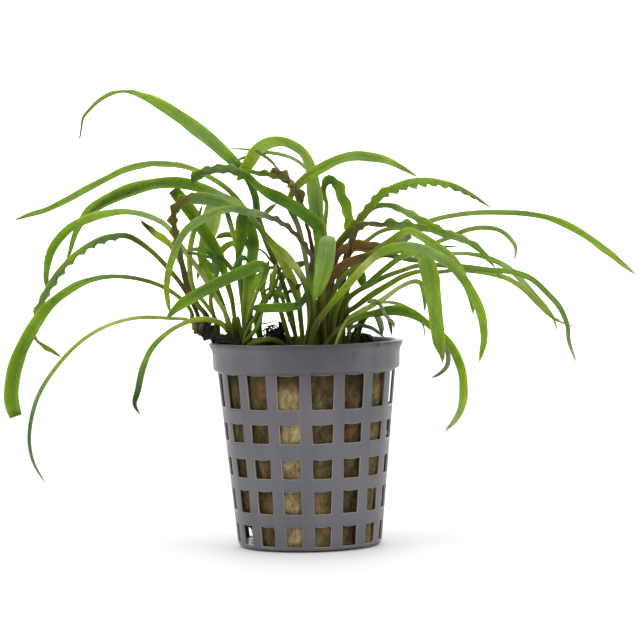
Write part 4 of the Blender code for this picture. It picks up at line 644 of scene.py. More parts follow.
# Leaf section: widths at which a stalk starts to open and is a full blade, and its parts
STALK_WIDTH, BLADE_WIDTH = 1.35, 2.1
FOOT_SINK = 2.0
FOOT_SWELL, FOOT_WAIST = 1.25, 0.95
LEAF_FOLD = 0.26
BLADE_THICKNESS = 0.26
BLADE_EDGE_THINNING = 0.75
STALK_HALF = 0.42
STALK_GROOVE, GROOVE_SPAN = 0.07, 0.3
RIB_HEIGHT, RIB_SPAN, RIB_SINK = 0.16, 0.1, 0.35
TIP_LENGTH, TIP_POWER = 1.5, 0.6
RIPPLE_ROOM = 1.2
CURLED_BLADE = 0.8
ACROSS = np.array((-1.0, -0.9, -0.7, -0.45, -0.2, -0.07, 0.0, 0.07, 0.2, 0.45, 0.7, 0.9, 1.0))

# Edge ripple outside the crinkled stretches, and how a stretch fades in and out
RIPPLE_PITCH, RIPPLE_HEIGHT, RIPPLE_REACH = 15.0, 0.16, 0.02
DRIFT_SCALE = 0.12
FADE_IN, FADE_OUT = (-0.03, 0.03), (-0.02, 0.03)

# Leaf colour: painted sheen on top, painted backlight underneath, patches along the leaf and unlike
# halves
UPPER_SHEEN_TINT = np.array((0.97, 0.99, 1.10))
UNDER_BACKLIGHT_TINT = np.array((1.07, 1.03, 0.75))
PATCH_STRENGTH, PATCH_SCALE = 0.16, 0.09
# Unlike halves: painted light and shade, one half of the blade lighter and the other darker
HALF_SHADING_STRENGTH, HALF_SHADING_SCALE, HALF_SHADING_LEAN = 0.14, 0.06, 0.04
UV_LENGTH = 10.0


def crinkle_of(name, share, length, seed):
    """Height and reach of both edges at each station, and how crinkled each station is."""
    heights = []
    reaches = []
    curled = np.zeros(len(share))
    s = share * length
    for edge in (-1, 1):
        drift = wander(s * DRIFT_SCALE, seed + edge * 0.37)
        phase = 2 * math.pi * s / RIPPLE_PITCH + 3.0 * drift + edge * 1.1 + seed
        height = RIPPLE_HEIGHT * np.sin(phase)
        reach = RIPPLE_REACH * np.sin(phase * 1.3 + 1.0)
        for leaf, start, end, which, tall, pitch, lobe in CRINKLES:
            if leaf != name or which * edge < 0:
                continue
            inside = smooth_step(start + FADE_IN[0], start + FADE_IN[1], share)
            inside = inside * (1.0 - smooth_step(end + FADE_OUT[0], end + FADE_OUT[1], share))
            curled = np.maximum(curled, inside)
            beat = 2 * math.pi * s / pitch + 2.2 * drift + edge * 0.9
            strength = 0.7 + 0.6 * wander(s * 0.35, seed + 5 + edge)
            height = height * (1 - inside) + inside * strength * tall * np.sin(beat)
            reach = reach * (1 - inside) + inside * strength * lobe * np.sin(beat + 0.8)
        heights.append(height)
        reaches.append(reach)
    return np.array(heights), np.array(reaches), curled


def leaf_section(name, width, blade, heights, reaches):
    """How far each place across the leaf reaches out, and its top and underside there."""
    u = ACROSS[None, :]
    edge = np.abs(u)
    width = width[:, None]
    blade = blade[:, None]
    half = width / 2
    reach = np.where(u < 0, reaches[0][:, None], reaches[1][:, None])
    height = np.where(u < 0, heights[0][:, None], heights[1][:, None])
    out = half * u * (1 + reach * edge ** 2 * blade)
    wave = height * edge ** 2.2 * blade * np.minimum(1.0, half / RIPPLE_ROOM)
    fold = -LEAF_FOLD if name in FACING_LEAVES else LEAF_FOLD
    channel = -fold * half * (1 - edge ** 1.15) * blade
    groove = -STALK_GROOVE * width * np.exp(-(u / GROOVE_SPAN) ** 2) * (1 - blade)
    stalk_half = STALK_HALF * width * np.sqrt(np.clip(1 - u ** 2, 0.0, 1.0))
    thinning = 1 - BLADE_EDGE_THINNING * edge ** 2
    blade_half = 0.5 * BLADE_THICKNESS * thinning * np.minimum(1.0, width)
    thick = stalk_half * (1 - blade) + blade_half * blade
    rib = RIB_HEIGHT * np.exp(-(u / RIB_SPAN) ** 2) * blade * np.minimum(1.0, width / 2)
    middle = wave + channel
    return out, middle + thick + groove - RIB_SINK * rib, middle - thick - rib


def leaf_tones(name, share, length, seed):
    """The leaf's colour at each station, its painted sheen, highlights and shade included, with soft
    patches.
    """
    stops = [stop.split() for stop in LOOKS[name].split(",")]
    where = [float(spot) for spot, tone in stops]
    tones = np.array([linear(TONES[tone]) for spot, tone in stops]) / LEAF_LIGHT_GAIN
    colour = np.stack([np.interp(share, where, tones[:, k]) for k in range(3)], axis=1)
    patch = 1.0 + PATCH_STRENGTH * wander(share * length * PATCH_SCALE, seed + 11)
    return colour * patch[:, None]


def darkened(tint, dark_patches, share, place, length, seed):
    """The tint under the dark patches that reach this share of the length and place across, painted
    shade among them.
    """
    for start, end, centre, span, strength, tone in dark_patches:
        along = smooth_step(start - 0.02, start + 0.04, share)
        along = along * (1 - smooth_step(end - 0.04, end, share))
        near = math.exp(-((place - centre) / span) ** 2)
        speck = noise.noise(Vector((share * length * 1.3, place * 2.0, seed)))
        amount = min(1.0, strength * along * near * (0.6 + 0.8 * abs(speck)))
        tint = tint + (np.array(linear(TONES[tone])) - tint) * amount
    return tint


def leaf_surface(name, foot, turn, route, seed, material, sink=FOOT_SINK):
    """One leaf: a round channelled stalk that opens into a thin blade with a midrib."""
    below = (foot[0], foot[1], foot[2] - sink, route[0][3] * FOOT_SWELL)
    knots = [below, (foot[0], foot[1], foot[2], route[0][3] * FOOT_WAIST)]
    knots += [(*seen_point(x, z, depth), width) for x, z, depth, width in route]
    rows = smooth_route(knots, LEAF_PITCH, LEAF_STATIONS)
    places = rows[:, :3]
    width = rows[:, 3]
    across, normal = leaf_frames(places, turn, name in FACING_LEAVES)
    count = len(rows)
    share = np.linspace(0.0, 1.0, count)
    length = float(np.linalg.norm(np.diff(places, axis=0), axis=1).sum())
    blade = smooth_step(STALK_WIDTH, BLADE_WIDTH, width)
    if name not in BLUNT_LEAVES:
        width = width * np.minimum(1.0, ((1.0 - share) * length / TIP_LENGTH + 0.02)) ** TIP_POWER
    heights, reaches, curled = crinkle_of(name, share, length, seed)
    blade = np.maximum(blade, CURLED_BLADE * curled)
    out, top, under = leaf_section(name, width, blade, heights, reaches)
    colour = leaf_tones(name, share, length, seed)
    # Painted light and shade on the two halves of the blade, as on a folded leaf
    half_shading = HALF_SHADING_STRENGTH * wander(share * length * HALF_SHADING_SCALE, seed + 21)
    half_shading = half_shading + HALF_SHADING_LEAN * np.sin(seed)
    dark_patches = [dark_patch[1:] for dark_patch in LEAF_DARK_PATCHES if dark_patch[0] == name]
    last = len(ACROSS) - 1
    # Top points get the painted sheen tint, underside points the painted backlight tint
    ring = [(k, top, UPPER_SHEEN_TINT) for k in range(last + 1)]
    ring += [(k, under, UNDER_BACKLIGHT_TINT) for k in range(last - 1, 0, -1)]
    points = []
    tints = []
    coords = []
    for i in range(count):
        for k, lift, face_light_tint in ring:
            point = (places[i] + across[i] * out[i, k] + normal[i] * lift[i, k]) * MM
            points.append((point[0], point[1], min(point[2], cad_high[2])))
            # One half lighter, the other darker: painted light and shade
            side = 1.0 + blade[i] * half_shading[i] * np.sign(ACROSS[k])
            tint = colour[i] * side * face_light_tint
            # Dark patches, some of them painted shade
            tint = darkened(tint, dark_patches, share[i], ACROSS[k], length, seed)
            tints.append((*tint, blade[i]))
            coords.append((ACROSS[k] * 0.5 + 0.5, share[i] * length / UV_LENGTH))
    faces = tube_faces(count, len(ring))
    thing = new_mesh("look_" + name, points, faces, material, "tint", tints)
    mesh = thing.data
    layer = mesh.uv_layers.new(name="leaf")
    spots = np.zeros(len(mesh.loops), int)
    mesh.loops.foreach_get("vertex_index", spots)
    layer.data.foreach_set("uv", np.array(coords, np.float32)[spots].ravel())
    return thing


class Shader:
    """A small helper that adds nodes to one material and joins them."""

    def __init__(self, name):
        self.material = bpy.data.materials.new(name)
        self.material.use_nodes = True
        self.tree = self.material.node_tree
        self.base = self.tree.nodes["Principled BSDF"]

    def add(self, kind, settings=(), **inputs):
        node = self.tree.nodes.new(kind)
        for key, value in settings:
            setattr(node, key, value)
        for key, value in inputs.items():
            self.put(node, key.replace("_", " "), value)
        return node

    def put(self, node, key, value):
        socket = node.inputs[int(key)] if key.isdigit() else node.inputs[key]
        if isinstance(value, bpy.types.NodeSocket):
            self.tree.links.new(value, socket)
        else:
            socket.default_value = value

    def surface(self, **inputs):
        """Sets the shader's own sockets, with _ for each space in a name."""
        for key, value in inputs.items():
            self.put(self.base, key.replace("_", " "), value)
        return self.material

    def math(self, operation, a, b=0.0):
        node = self.add("ShaderNodeMath", (("operation", operation),))
        self.put(node, "0", a)
        self.put(node, "1", b)
        return node.outputs[0]

    def plus(self, a, b):
        return self.math("ADD", a, b)

    def times(self, a, b):
        return self.math("MULTIPLY", a, b)

    def ramp(self, value, low, high, start=0.0, end=1.0):
        node = self.add("ShaderNodeMapRange", (("interpolation_type", "SMOOTHSTEP"),))
        for key, number in (("0", value), ("1", low), ("2", high), ("3", start), ("4", end)):
            self.put(node, key, number)
        return node.outputs[0]

    def shade(self, parts, least):
        """The sum of each part's ramp times its weight, and the least value."""
        weighted = [self.times(self.ramp(*part[:3]), part[3]) for part in parts]
        for part in weighted[1:]:
            weighted[0] = self.plus(weighted[0], part)
        return self.plus(weighted[0], least)

    def mix(self, share, a, b, blend="MIX"):
        """Mixes two colours, each an output or a plain (red, green, blue)."""
        node = self.add("ShaderNodeMix", (("data_type", "RGBA"), ("blend_type", blend)))
        self.put(node, "0", share)
        for key, colour in (("6", a), ("7", b)):
            self.put(node, key, (*colour, 1.0) if isinstance(colour, tuple) else colour)
        return node.outputs[2]

    def tinted(self, colour, factor):
        return self.mix(1.0, colour, factor, "MULTIPLY")

    def scaled(self, colour, share):
        node = self.add("ShaderNodeVectorMath", (("operation", "SCALE"),))
        self.put(node, "0", colour)
        self.put(node, "Scale", share)
        return node.outputs[0]

    def stored(self, layer):
        """The point colours of a layer: their colour and their alpha."""
        node = self.add("ShaderNodeVertexColor", (("layer_name", layer),))
        return node.outputs["Color"], node.outputs["Alpha"]

    def split(self, vector):
        return self.add("ShaderNodeSeparateXYZ", Vector=vector).outputs

    def stretch(self, vector, scale):
        node = self.add("ShaderNodeMapping", Vector=vector)
        self.put(node, "Scale", scale)
        return node.outputs[0]

    def place(self):
        return self.add("ShaderNodeTexCoord").outputs["Object"]

    def noise(self, vector, scale, detail, roughness):
        node = self.add("ShaderNodeTexNoise", Scale=scale, Detail=detail, Roughness=roughness)
        self.put(node, "Vector", vector)
        return node.outputs["Fac"]

    def grain(self, scale, detail, roughness, stretch=(1.0, 1.0, 1.0)):
        """Noise fixed to the object, finer along an axis with a larger stretch."""
        return self.noise(self.stretch(self.place(), stretch), scale, detail, roughness)

    def spot(self, centre, reach):
        """1 at a place in millimetres, falling to 0 at its reach."""
        gap = self.add("ShaderNodeVectorMath", (("operation", "DISTANCE"),))
        self.put(gap, "0", self.place())
        self.put(gap, "1", tuple(c * MM for c in centre))
        return self.ramp(gap.outputs["Value"], reach * MM, 0.2 * reach * MM)

    def bump(self, height, distance, strength):
        node = self.add("ShaderNodeBump", Strength=strength, Distance=distance, Height=height)
        return node.outputs[0]


# Leaf materials: name, roughness and coat
LEAF_MATERIALS = {
    "green": ("leaf_green", 0.42, 0.04),
    "light": ("leaf_light", 0.44, 0.03),
    "dark": ("leaf_dark", 0.42, 0.05),
    "brown": ("leaf_brown", 0.48, 0.03),
}
VEIN_STRETCH, BAND_STRETCH = (26.0, 1.3, 1.0), (7.0, 1.0, 1.0)
PALE_RIB, DULL_RIM = (1.35, 1.25, 1.3), (0.9, 0.86, 0.7)


def leaf_material(name, roughness, coat):
    """Veined leaf in the stored colours, with a paler midrib and a duller rim."""
    s = Shader(name)
    colour, blade = s.stored("tint")
    route = s.add("ShaderNodeUVMap", (("uv_map", "leaf"),)).outputs[0]
    off_centre = s.math("ABSOLUTE", s.math("SUBTRACT", s.split(route)[0], 0.5))
    veins = s.noise(s.stretch(route, VEIN_STRETCH), 1.0, 2.0, 0.5)
    bands = s.noise(s.stretch(route, BAND_STRETCH), 1.0, 3.0, 0.6)
    spots = s.grain(900.0, 4.0, 0.6)
    blotches = s.grain(210.0, 3.0, 0.55)
    shade = s.shade(((veins, 0.3, 0.7, 0.22), (bands, 0.3, 0.7, 0.24),
                     (spots, 0.35, 0.65, 0.14), (blotches, 0.35, 0.65, 0.22)), 0.59)
    body = s.scaled(colour, shade)
    rib = s.times(s.ramp(off_centre, 0.085, 0.015), s.times(blade, 0.42))
    body = s.mix(rib, body, s.tinted(body, PALE_RIB))
    rim = s.times(s.ramp(off_centre, 0.46, 0.5), s.times(blade, 0.3))
    body = s.mix(rim, body, s.tinted(body, DULL_RIM))
    ridges = s.plus(s.times(veins, 0.7), s.times(spots, 0.35))
    return s.surface(Base_Color=body,
                     Roughness=s.ramp(blotches, 0.3, 0.7, roughness - 0.06, roughness + 0.1),
                     Normal=s.bump(ridges, 0.0001, 0.8),
                     Subsurface_Weight=0.35, Subsurface_Radius=(0.9, 1.0, 0.2),
                     Subsurface_Scale=0.0012, Specular_IOR_Level=0.14,
                     Coat_Weight=coat, Coat_Roughness=0.25)


# Net pot, with its slots as (low, high) rows up the wall and one ring of them in the base
BODY_FOOT_RADIUS = 18.3
BODY_FLARE = 0.098
WALL = 0.8
FLOOR = 0.7
COLUMNS = 16
COLUMN_STEPS = 8
SLOT_STEPS = 4
COLUMN_PITCH = 360.0 / COLUMNS
FIRST_COLUMN = -102.0
SLOT_SPAN_TOP = 15.0
SLOT_SPAN_FOOT = 12.4
SLOT_ROWS = ((1.1, 6.0), (9.4, 15.0), (18.3, 23.0), (27.2, 31.8), (35.7, 44.2))
BASE_SLOT = (10.0, 15.2)
MARGIN = 0.32

# Rings (radius, height) of the rounded foot and of the collar up to the lip
FOOT_OUTSIDE = ((16.9, 0.0), (17.6, 0.04), (18.05, 0.2), (18.28, 0.5))
FOOT_INSIDE = ((16.1, FLOOR), (16.7, FLOOR), (17.1, FLOOR + 0.05), (17.25, FLOOR + 0.12))
COLLAR_OUTSIDE = ((23.3, 44.72), (23.72, 45.0), (23.8, 45.6), (23.84, 47.2), (23.9, 48.8),
                  (24.05, 49.8), (24.4, 50.5), (24.72, 51.0), (24.8, 51.4), (24.78, 51.8),
                  (24.5, 52.0))
COLLAR_INSIDE = ((21.75, 44.7), (22.0, 45.2), (22.45, 45.9), (22.72, 46.5), (22.8, 47.4),
                 (22.86, 48.8), (22.9, 49.8), (22.94, 50.5), (22.97, 51.0), (23.0, 51.4),
                 (23.1, 51.8), (23.4, 52.0))

# Unevenness of the moulding: how far a slot's edge wavers and its top bows, step by step
WAVER, WAVER_REACH = 0.12, 1.1
TOP_BOW = (0.34, 0.04, -0.18, 0.08, 0.30, 0.12, 0.0, 0.12)
SIDE_STRAY = 0.5
WAVY_WALL = (1.0, 44.5)
# How much of the painted glow the slot edges get inside the pot
INSIDE_EDGE_GLOW = 0.5
# Painted shadow along the top of the lip outside
LIP_SHADOW = 0.45


def body_radius(height):
    return BODY_FOOT_RADIUS + BODY_FLARE * height


# The wall's last ring outside, just under the collar
WALL_END = (body_radius(44.7), 44.66)


def profile_rings():
    """Matching rings (radius, height) of the pot's outside and inside, from the base's middle
    to the lip, and the ring at which each row of slots starts."""
    base = [0.6, 5.0, BASE_SLOT[0] - MARGIN, BASE_SLOT[0], BASE_SLOT[0] + MARGIN, 12.6,
            BASE_SLOT[1] - MARGIN, BASE_SLOT[1], BASE_SLOT[1] + MARGIN]
    starts = [base.index(BASE_SLOT[0])]
    outside = [(r, 0.0) for r in base] + list(FOOT_OUTSIDE)
    inside = [(r, FLOOR) for r in base] + list(FOOT_INSIDE)
    for low, high in SLOT_ROWS:
        starts.append(len(outside) + 1)
        middle = (low + high) / 2
        for height in (low - MARGIN, low, low + MARGIN, middle, high - MARGIN, high, high + MARGIN):
            outside.append((body_radius(height), height))
            inside.append((body_radius(height) - WALL, max(height, FLOOR + 0.25)))
    outside += [WALL_END, *COLLAR_OUTSIDE]
    inside += COLLAR_INSIDE
    return outside, inside, starts


def pot_angles(height):
    """Angles round the pot: in each column four steps across the slot and four across the rib."""
    share = min(max(height / SLOT_ROWS[-1][1], 0.0), 1.0)
    half = (SLOT_SPAN_FOOT + (SLOT_SPAN_TOP - SLOT_SPAN_FOOT) * share) / 2
    edge = math.degrees(MARGIN / body_radius(height))
    gap = COLUMN_PITCH / 2
    steps = (-half, -half + edge, 0.0, half - edge, half, half + edge, gap, 2 * gap - half - edge)
    return [FIRST_COLUMN + COLUMN_PITCH * k + step for k in range(COLUMNS) for step in steps]


def slot_unevenness_and_rim(column, step, height):
    """How far a point of the wall strays up and round the pot, and 1 where it edges a slot and gets the
    painted glow.
    """
    lift = 0.0
    stray = 0.0
    on_edge = 0.0
    beside = step in (0, SLOT_STEPS)
    for low, high in SLOT_ROWS:
        seed = column * 3.1 + low
        for level in (low, high):
            near = max(0.0, 1.0 - abs(height - level) / WAVER_REACH)
            if near == 0.0:
                continue
            wave = WAVER * noise.noise(Vector((seed, step * 0.7, level)))
            if level == high:
                wave += TOP_BOW[step]
            lift += near * wave
        if low - 0.01 <= height <= high + 0.01 and step <= SLOT_STEPS:
            if beside or abs(height - low) < 0.01 or abs(height - high) < 0.01:
                on_edge = 1.0
        if low - 0.5 <= height <= high + 0.5 and beside:
            stray = SIDE_STRAY * noise.noise(Vector((seed, step, height * 0.3)))
    if not WAVY_WALL[0] < height < WAVY_WALL[1]:
        lift = 0.0
    return lift, stray, on_edge


def lip_shadow_and_dark_inside(outer, height):
    """How much darker the pot is at a height: the top of the lip outside, with painted shadow, and the
    whole collar inside.
    """
    if not outer:
        return smooth_step(45.0, 47.5, height) * (1.0 - 0.5 * smooth_step(51.2, 51.9, height))
    return LIP_SHADOW * smooth_step(50.2, 51.6, height)


def pot_surface(material):
    """The moulded pot with slots that are a little uneven and soft-edged."""
    outside, inside, starts = profile_rings()
    around = COLUMN_STEPS * COLUMNS
    count = len(outside)
    points = []
    edges = []
    for outer, rings in ((True, outside), (False, inside)):
        for radius, height in rings:
            # Painted shadow on the lip outside; the collar inside darker
            darkening = lip_shadow_and_dark_inside(outer, height)
            for k, angle in enumerate(pot_angles(height)):
                lift, stray, on_edge = slot_unevenness_and_rim(*divmod(k, COLUMN_STEPS), height)
                x, y, z = round_point(radius, angle + stray, height + lift)
                points.append((x * MM, y * MM, z * MM))
                # First channel: the painted glow along the slot edges
                edges.append((on_edge if outer else on_edge * INSIDE_EDGE_GLOW, darkening, 0.0, 1.0))

    def at(shell, i, k):
        return shell * count * around + i * around + k % around

    pierced = {start + k for start in starts for k in range(SLOT_STEPS)}
    faces = []
    for i in range(count - 1):
        for k in range(around):
            if i in pierced and k % COLUMN_STEPS < SLOT_STEPS:
                continue
            for shell in (0, 1):
                faces.append((at(shell, i, k), at(shell, i, k + 1),
                              at(shell, i + 1, k + 1), at(shell, i + 1, k)))
    lip = count - 1
    for k in range(around):
        faces.append((at(0, lip, k), at(0, lip, k + 1), at(1, lip, k + 1), at(1, lip, k)))
    corners = ((0, 0), (0, SLOT_STEPS), (SLOT_STEPS, SLOT_STEPS), (SLOT_STEPS, 0))
    sides = ((0, 1), (1, 0), (0, -1), (-1, 0))
    for start in starts:
        for column in range(COLUMNS):
            k0 = column * COLUMN_STEPS
            rim = [(start + i + di * j, k0 + k + dk * j)
                   for (i, k), (di, dk) in zip(corners, sides) for j in range(SLOT_STEPS)]
            for here, there in zip(rim, rim[1:] + rim[:1]):
                faces.append((at(0, *here), at(0, *there), at(1, *there), at(1, *here)))
    faces.append(tuple(at(0, 0, k) for k in range(around)))
    faces.append(tuple(at(1, 0, k) for k in range(around)))
    thing = new_mesh("look_pot", points, faces, material, "edge", edges)
    rounding = thing.modifiers.new("rounding", "SUBSURF")
    rounding.levels = 1
    rounding.render_levels = 1
    return thing


# Dark spots on the collar and the lip, and the painted shadow under the leaves: centre and reach
COLLAR_DARK_SPOTS = (((12.6, -20.5, 49.8), 1.5), ((12.2, -20.8, 48.2), 1.0), ((22.0, -9.0, 51.2), 2.2),
           ((17.5, -17.0, 51.8), 2.4), ((20.5, -13.2, 51.6), 2.6), ((23.6, -6.5, 51.2), 2.6))
DULL_COLLAR = ((2.0, -24.0, 51.5), 18.0)

# Linear colours of the pot
PLASTIC = ((0.098, 0.097, 0.112), (0.125, 0.124, 0.142))
STREAK = (0.16, 0.156, 0.172)
DUST = (0.10, 0.085, 0.06)
COLLAR_SPOT_TONE = (0.035, 0.034, 0.035)
# Painted glow of light through the thin slot edges
SLOT_EDGE_GLOW = (0.40, 0.34, 0.26)
# Painted shadow on the lip, and the darker inside of the collar
COLLAR_DARK_TONE = (0.028, 0.028, 0.022)


def pot_material():
    """Grey plastic with clouds, streaks, painted glow on slot edges, dark spots and painted lip shadow.
    """
    s = Shader("pot_plastic")
    glow_and_darkening = s.split(s.stored("edge")[0])
    cloud = s.grain(70.0, 3.0, 0.5, (1.0, 1.0, 0.6))
    fine = s.grain(1500.0, 4.0, 0.7)
    streak = s.grain(420.0, 3.0, 0.6, (1.0, 1.0, 0.12))
    specks = s.grain(900.0, 4.0, 0.7)
    dust = s.ramp(s.grain(330.0, 4.0, 0.65, (1.0, 1.0, 0.8)), 0.60, 0.74)
    colour = s.mix(s.ramp(cloud, 0.35, 0.65), *PLASTIC)
    colour = s.mix(s.times(s.ramp(streak, 0.4, 0.75), 0.25), colour, STREAK)
    colour = s.mix(s.times(dust, 0.25), colour, DUST)
    collar_spots = 0.0
    for centre, reach in COLLAR_DARK_SPOTS:
        collar_spots = s.math("MAXIMUM", collar_spots, s.spot(centre, reach))
    colour = s.mix(s.times(collar_spots, s.ramp(specks, 0.42, 0.56)), colour, COLLAR_SPOT_TONE)
    # Painted glow: a light tan rim along the slot edges
    edge_glow = s.times(s.ramp(glow_and_darkening[0], 0.55, 0.95), s.ramp(cloud, 0.2, 0.6, 0.5, 0.9))
    colour = s.mix(edge_glow, colour, SLOT_EDGE_GLOW)
    # Painted shadow on the lip outside, and a darker collar inside
    darkening = s.times(glow_and_darkening[1], s.ramp(specks, 0.25, 0.6, 0.75, 1.0))
    colour = s.mix(darkening, colour, COLLAR_DARK_TONE)
    collar = s.times(s.spot(*DULL_COLLAR), 0.85)
    colour = s.mix(collar, colour, s.tinted(colour, (0.5, 0.5, 0.5)))
    height = s.plus(s.times(fine, 0.4), s.times(streak, 0.8))
    return s.surface(Base_Color=colour, Roughness=s.ramp(cloud, 0.3, 0.7, 0.34, 0.46),
                     Specular_IOR_Level=0.45, Normal=s.bump(height, 0.00008, 0.5))


# Mineral wool plug, with its screen tones
WOOL_TOP = 49.5
WOOL_SHOULDER = 1.2
WOOL_AROUND, WOOL_LEVELS = 288, 110
WOOL_GAP = 0.55
WOOL_BULGE = 0.35
WOOL_BROWN, WOOL_OLIVE = (0.40, 0.31, 0.19), (0.36, 0.32, 0.19)
WOOL_TAN, WOOL_DARK_TOP = (0.70, 0.62, 0.45), (0.24, 0.20, 0.10)
# How far a column of slots goes from brown to tan, below and from the height at which it changes
COLUMN_TAN = {0: (0.85, 34.0, 0.75), 1: (0.26, 16.0, 0.10), 3: (0.25, 0.0, 0.25),
              5: (0.4, 0.0, 0.4), 9: (0.4, 0.0, 0.4), 15: (0.1, 0.0, 0.1)}
TOP_SHADOW = (38.5, 43.5, 0.35)
# Hollows where light passes: depth, and where each sets in by height and by share of x
RIGHT_TOP_HOLLOW = (1.3, (34.0, 37.0), (0.84, 0.96))
LEFT_FOOT_HOLLOW = (3.2, (7.5, 3.5), (0.70, 0.84))
# Rings of the top, as shares of the plug's radius
TOP_SHARES = (0.985, 0.95, 0.88, 0.78, 0.66, 0.52, 0.36, 0.2, 0.08)


def wool_radius(angle, height):
    """The side of the plug: uneven, with hollows where light passes at the left foot and the
    right top."""
    x, y, z = round_point(1.0, angle, height)
    body = body_radius(height) - WALL - WOOL_GAP + WOOL_BULGE * smooth_step(0.75, 0.95, abs(x))
    spot = Vector((x * 9.0, y * 9.0, height * 0.16))
    uneven = 0.55 * noise.fractal(spot, 1.0, 2.0, 3) + 0.25 * noise.noise(spot * 3.1)
    depth, heights, shares = RIGHT_TOP_HOLLOW if x > 0 else LEFT_FOOT_HOLLOW
    hollow = depth * smooth_step(*heights, height) * smooth_step(*shares, abs(x))
    return body + min(uneven, WOOL_BULGE) - hollow


def wool_tone(angle, height):
    """Base tone of the plug: tan down the first column, brown and olive round the rest."""
    column = int((angle - FIRST_COLUMN + COLUMN_PITCH / 2) % 360.0 // COLUMN_PITCH)
    brown = np.array(linear(WOOL_BROWN))
    olive = np.array(linear(WOOL_OLIVE))
    tan = np.array(linear(WOOL_TAN))
    sway = noise.noise(Vector((column * 2.3, height * 0.09, 1.0)))
    tone = (brown + (olive - brown) * smooth_step(-0.3, 0.4, sway)) * 0.78
    lower, level, upper = COLUMN_TAN.get(column, (0.0, 0.0, 0.0))
    share = lower if height < level else upper
    if column == 0 and height >= level:
        share *= smooth_step(43.0, 38.5, height)
    low, high, strength = TOP_SHADOW
    return (tone + (tan - tone) * share) * (1.0 - strength * smooth_step(low, high, height))


def wool_surface(material):
    """The plug: its side ring by ring, then its lumpy top from the edge to the middle."""
    shoulder = WOOL_TOP - WOOL_SHOULDER
    angles = [360.0 * k / WOOL_AROUND for k in range(WOOL_AROUND)]
    points = []
    tints = []
    for height in np.linspace(FLOOR + 0.15, shoulder, WOOL_LEVELS):
        for angle in angles:
            x, y, z = round_point(wool_radius(angle, float(height)), angle, height)
            points.append((x * MM, y * MM, z * MM))
            tints.append((*wool_tone(angle, float(height)), 1.0))
    for step, share in enumerate(TOP_SHARES):
        for angle in angles:
            x, y, z = round_point(wool_radius(angle, shoulder) * share, angle, shoulder)
            lump = 0.5 * noise.fractal(Vector((x * 0.35, y * 0.35, 7.0)), 1.0, 2.0, 3)
            rise = shoulder + min(step + 1, 4) * 0.3 + lump * min(step, 3) / 3.0
            points.append((x * MM, y * MM, min(rise, WOOL_TOP + 0.4) * MM))
            tints.append((*linear(WOOL_DARK_TOP), 1.0))
    faces = tube_faces(WOOL_LEVELS + len(TOP_SHARES), WOOL_AROUND)
    return new_mesh("look_wool", points, faces, material, "tint", tints)


def wool_material():
    """Matted fibres: threads that cross, clumps, blots and a little algae."""
    s = Shader("mineral_wool")
    tint = s.stored("tint")[0]
    threads = s.grain(1900.0, 5.0, 0.75, (1.0, 1.0, 0.22))
    crossing = s.grain(2300.0, 4.0, 0.7, (0.35, 0.35, 1.0))
    clumps = s.grain(420.0, 5.0, 0.65, (1.0, 1.0, 0.6))
    blots = s.grain(170.0, 4.0, 0.6, (1.0, 1.0, 0.8))
    algae = s.grain(120.0, 3.0, 0.5, (1.0, 1.0, 0.7))
    body = s.scaled(tint, s.shade(((threads, 0.35, 0.65, 0.34), (clumps, 0.36, 0.64, 0.80),
                                   (crossing, 0.35, 0.65, 0.22), (blots, 0.35, 0.65, 0.5)), 0.05))
    green = s.times(s.ramp(algae, 0.5, 0.7), 0.3)
    body = s.mix(green, body, s.tinted(body, (0.78, 0.9, 0.5)))
    height = s.plus(threads, s.times(clumps, 1.4))
    return s.surface(Base_Color=body, Roughness=0.9, Specular_IOR_Level=0.2,
                     Normal=s.bump(height, 0.0006, 1.0))


class Threads:
    """Collects many thin tapered tubes into one mesh."""

    def __init__(self, sides):
        self.sides = sides
        self.points = []
        self.faces = []
        self.tints = []

    def add(self, path, radii, tone):
        path = np.asarray(path, float)
        tangent = unit(np.gradient(path, axis=0))
        level = unit(np.cross(tangent, (0.31, 0.17, 0.93)))
        upper = np.cross(tangent, level)
        self.faces += tube_faces(len(path), self.sides, len(self.points))
        for i, place in enumerate(path):
            for k in range(self.sides):
                turn = 2 * math.pi * k / self.sides
                out = level[i] * math.cos(turn) + upper[i] * math.sin(turn)
                self.points.append((place + out * radii[i]) * MM)
                self.tints.append((*tone, 1.0))

    def finish(self, name, material):
        return new_mesh(name, self.points, self.faces, material, "tint", self.tints)


def thread_material(name, roughness):
    s = Shader(name)
    tint = s.stored("tint")[0]
    fine = s.grain(1100.0, 3.0, 0.6)
    body = s.mix(s.ramp(fine, 0.3, 0.7), s.tinted(tint, (0.55, 0.55, 0.55)), tint)
    return s.surface(Base_Color=body, Roughness=roughness, Specular_IOR_Level=0.3,
                     Normal=s.bump(fine, 0.0001, 0.7))


FIBRES = 2600
FIBRE_STEPS = 6
FIBRE_RADIUS = 0.05
FIBRE_TOP = 47.5


def wool_fibres(material):
    """Loose fibres on the side of the plug, mostly upright, some curling into the slots."""
    rng = np.random.default_rng(11)
    threads = Threads(3)
    shares = [j / (FIBRE_STEPS - 1) for j in range(FIBRE_STEPS)]
    radii = [FIBRE_RADIUS * (1 - 0.6 * abs(2 * share - 1)) for share in shares]
    for i in range(FIBRES):
        angle = rng.uniform(0.0, 360.0)
        foot = rng.uniform(1.5, 44.0)
        length = rng.uniform(1.2, 4.5)
        drift = rng.normal(0.0, 5.0)
        bulge = rng.uniform(0.02, 0.35)
        path = []
        for share in shares:
            height = min(foot + length * share, FIBRE_TOP)
            here = angle + drift * share + 1.5 * math.sin(3.0 * share + i)
            radius = wool_radius(here, height) + bulge * math.sin(math.pi * share) + 0.02
            path.append(round_point(radius, here, height))
        threads.add(path, radii, wool_tone(angle, foot) * rng.uniform(0.5, 1.7))
    return threads.finish("look_wool_fibres", material)


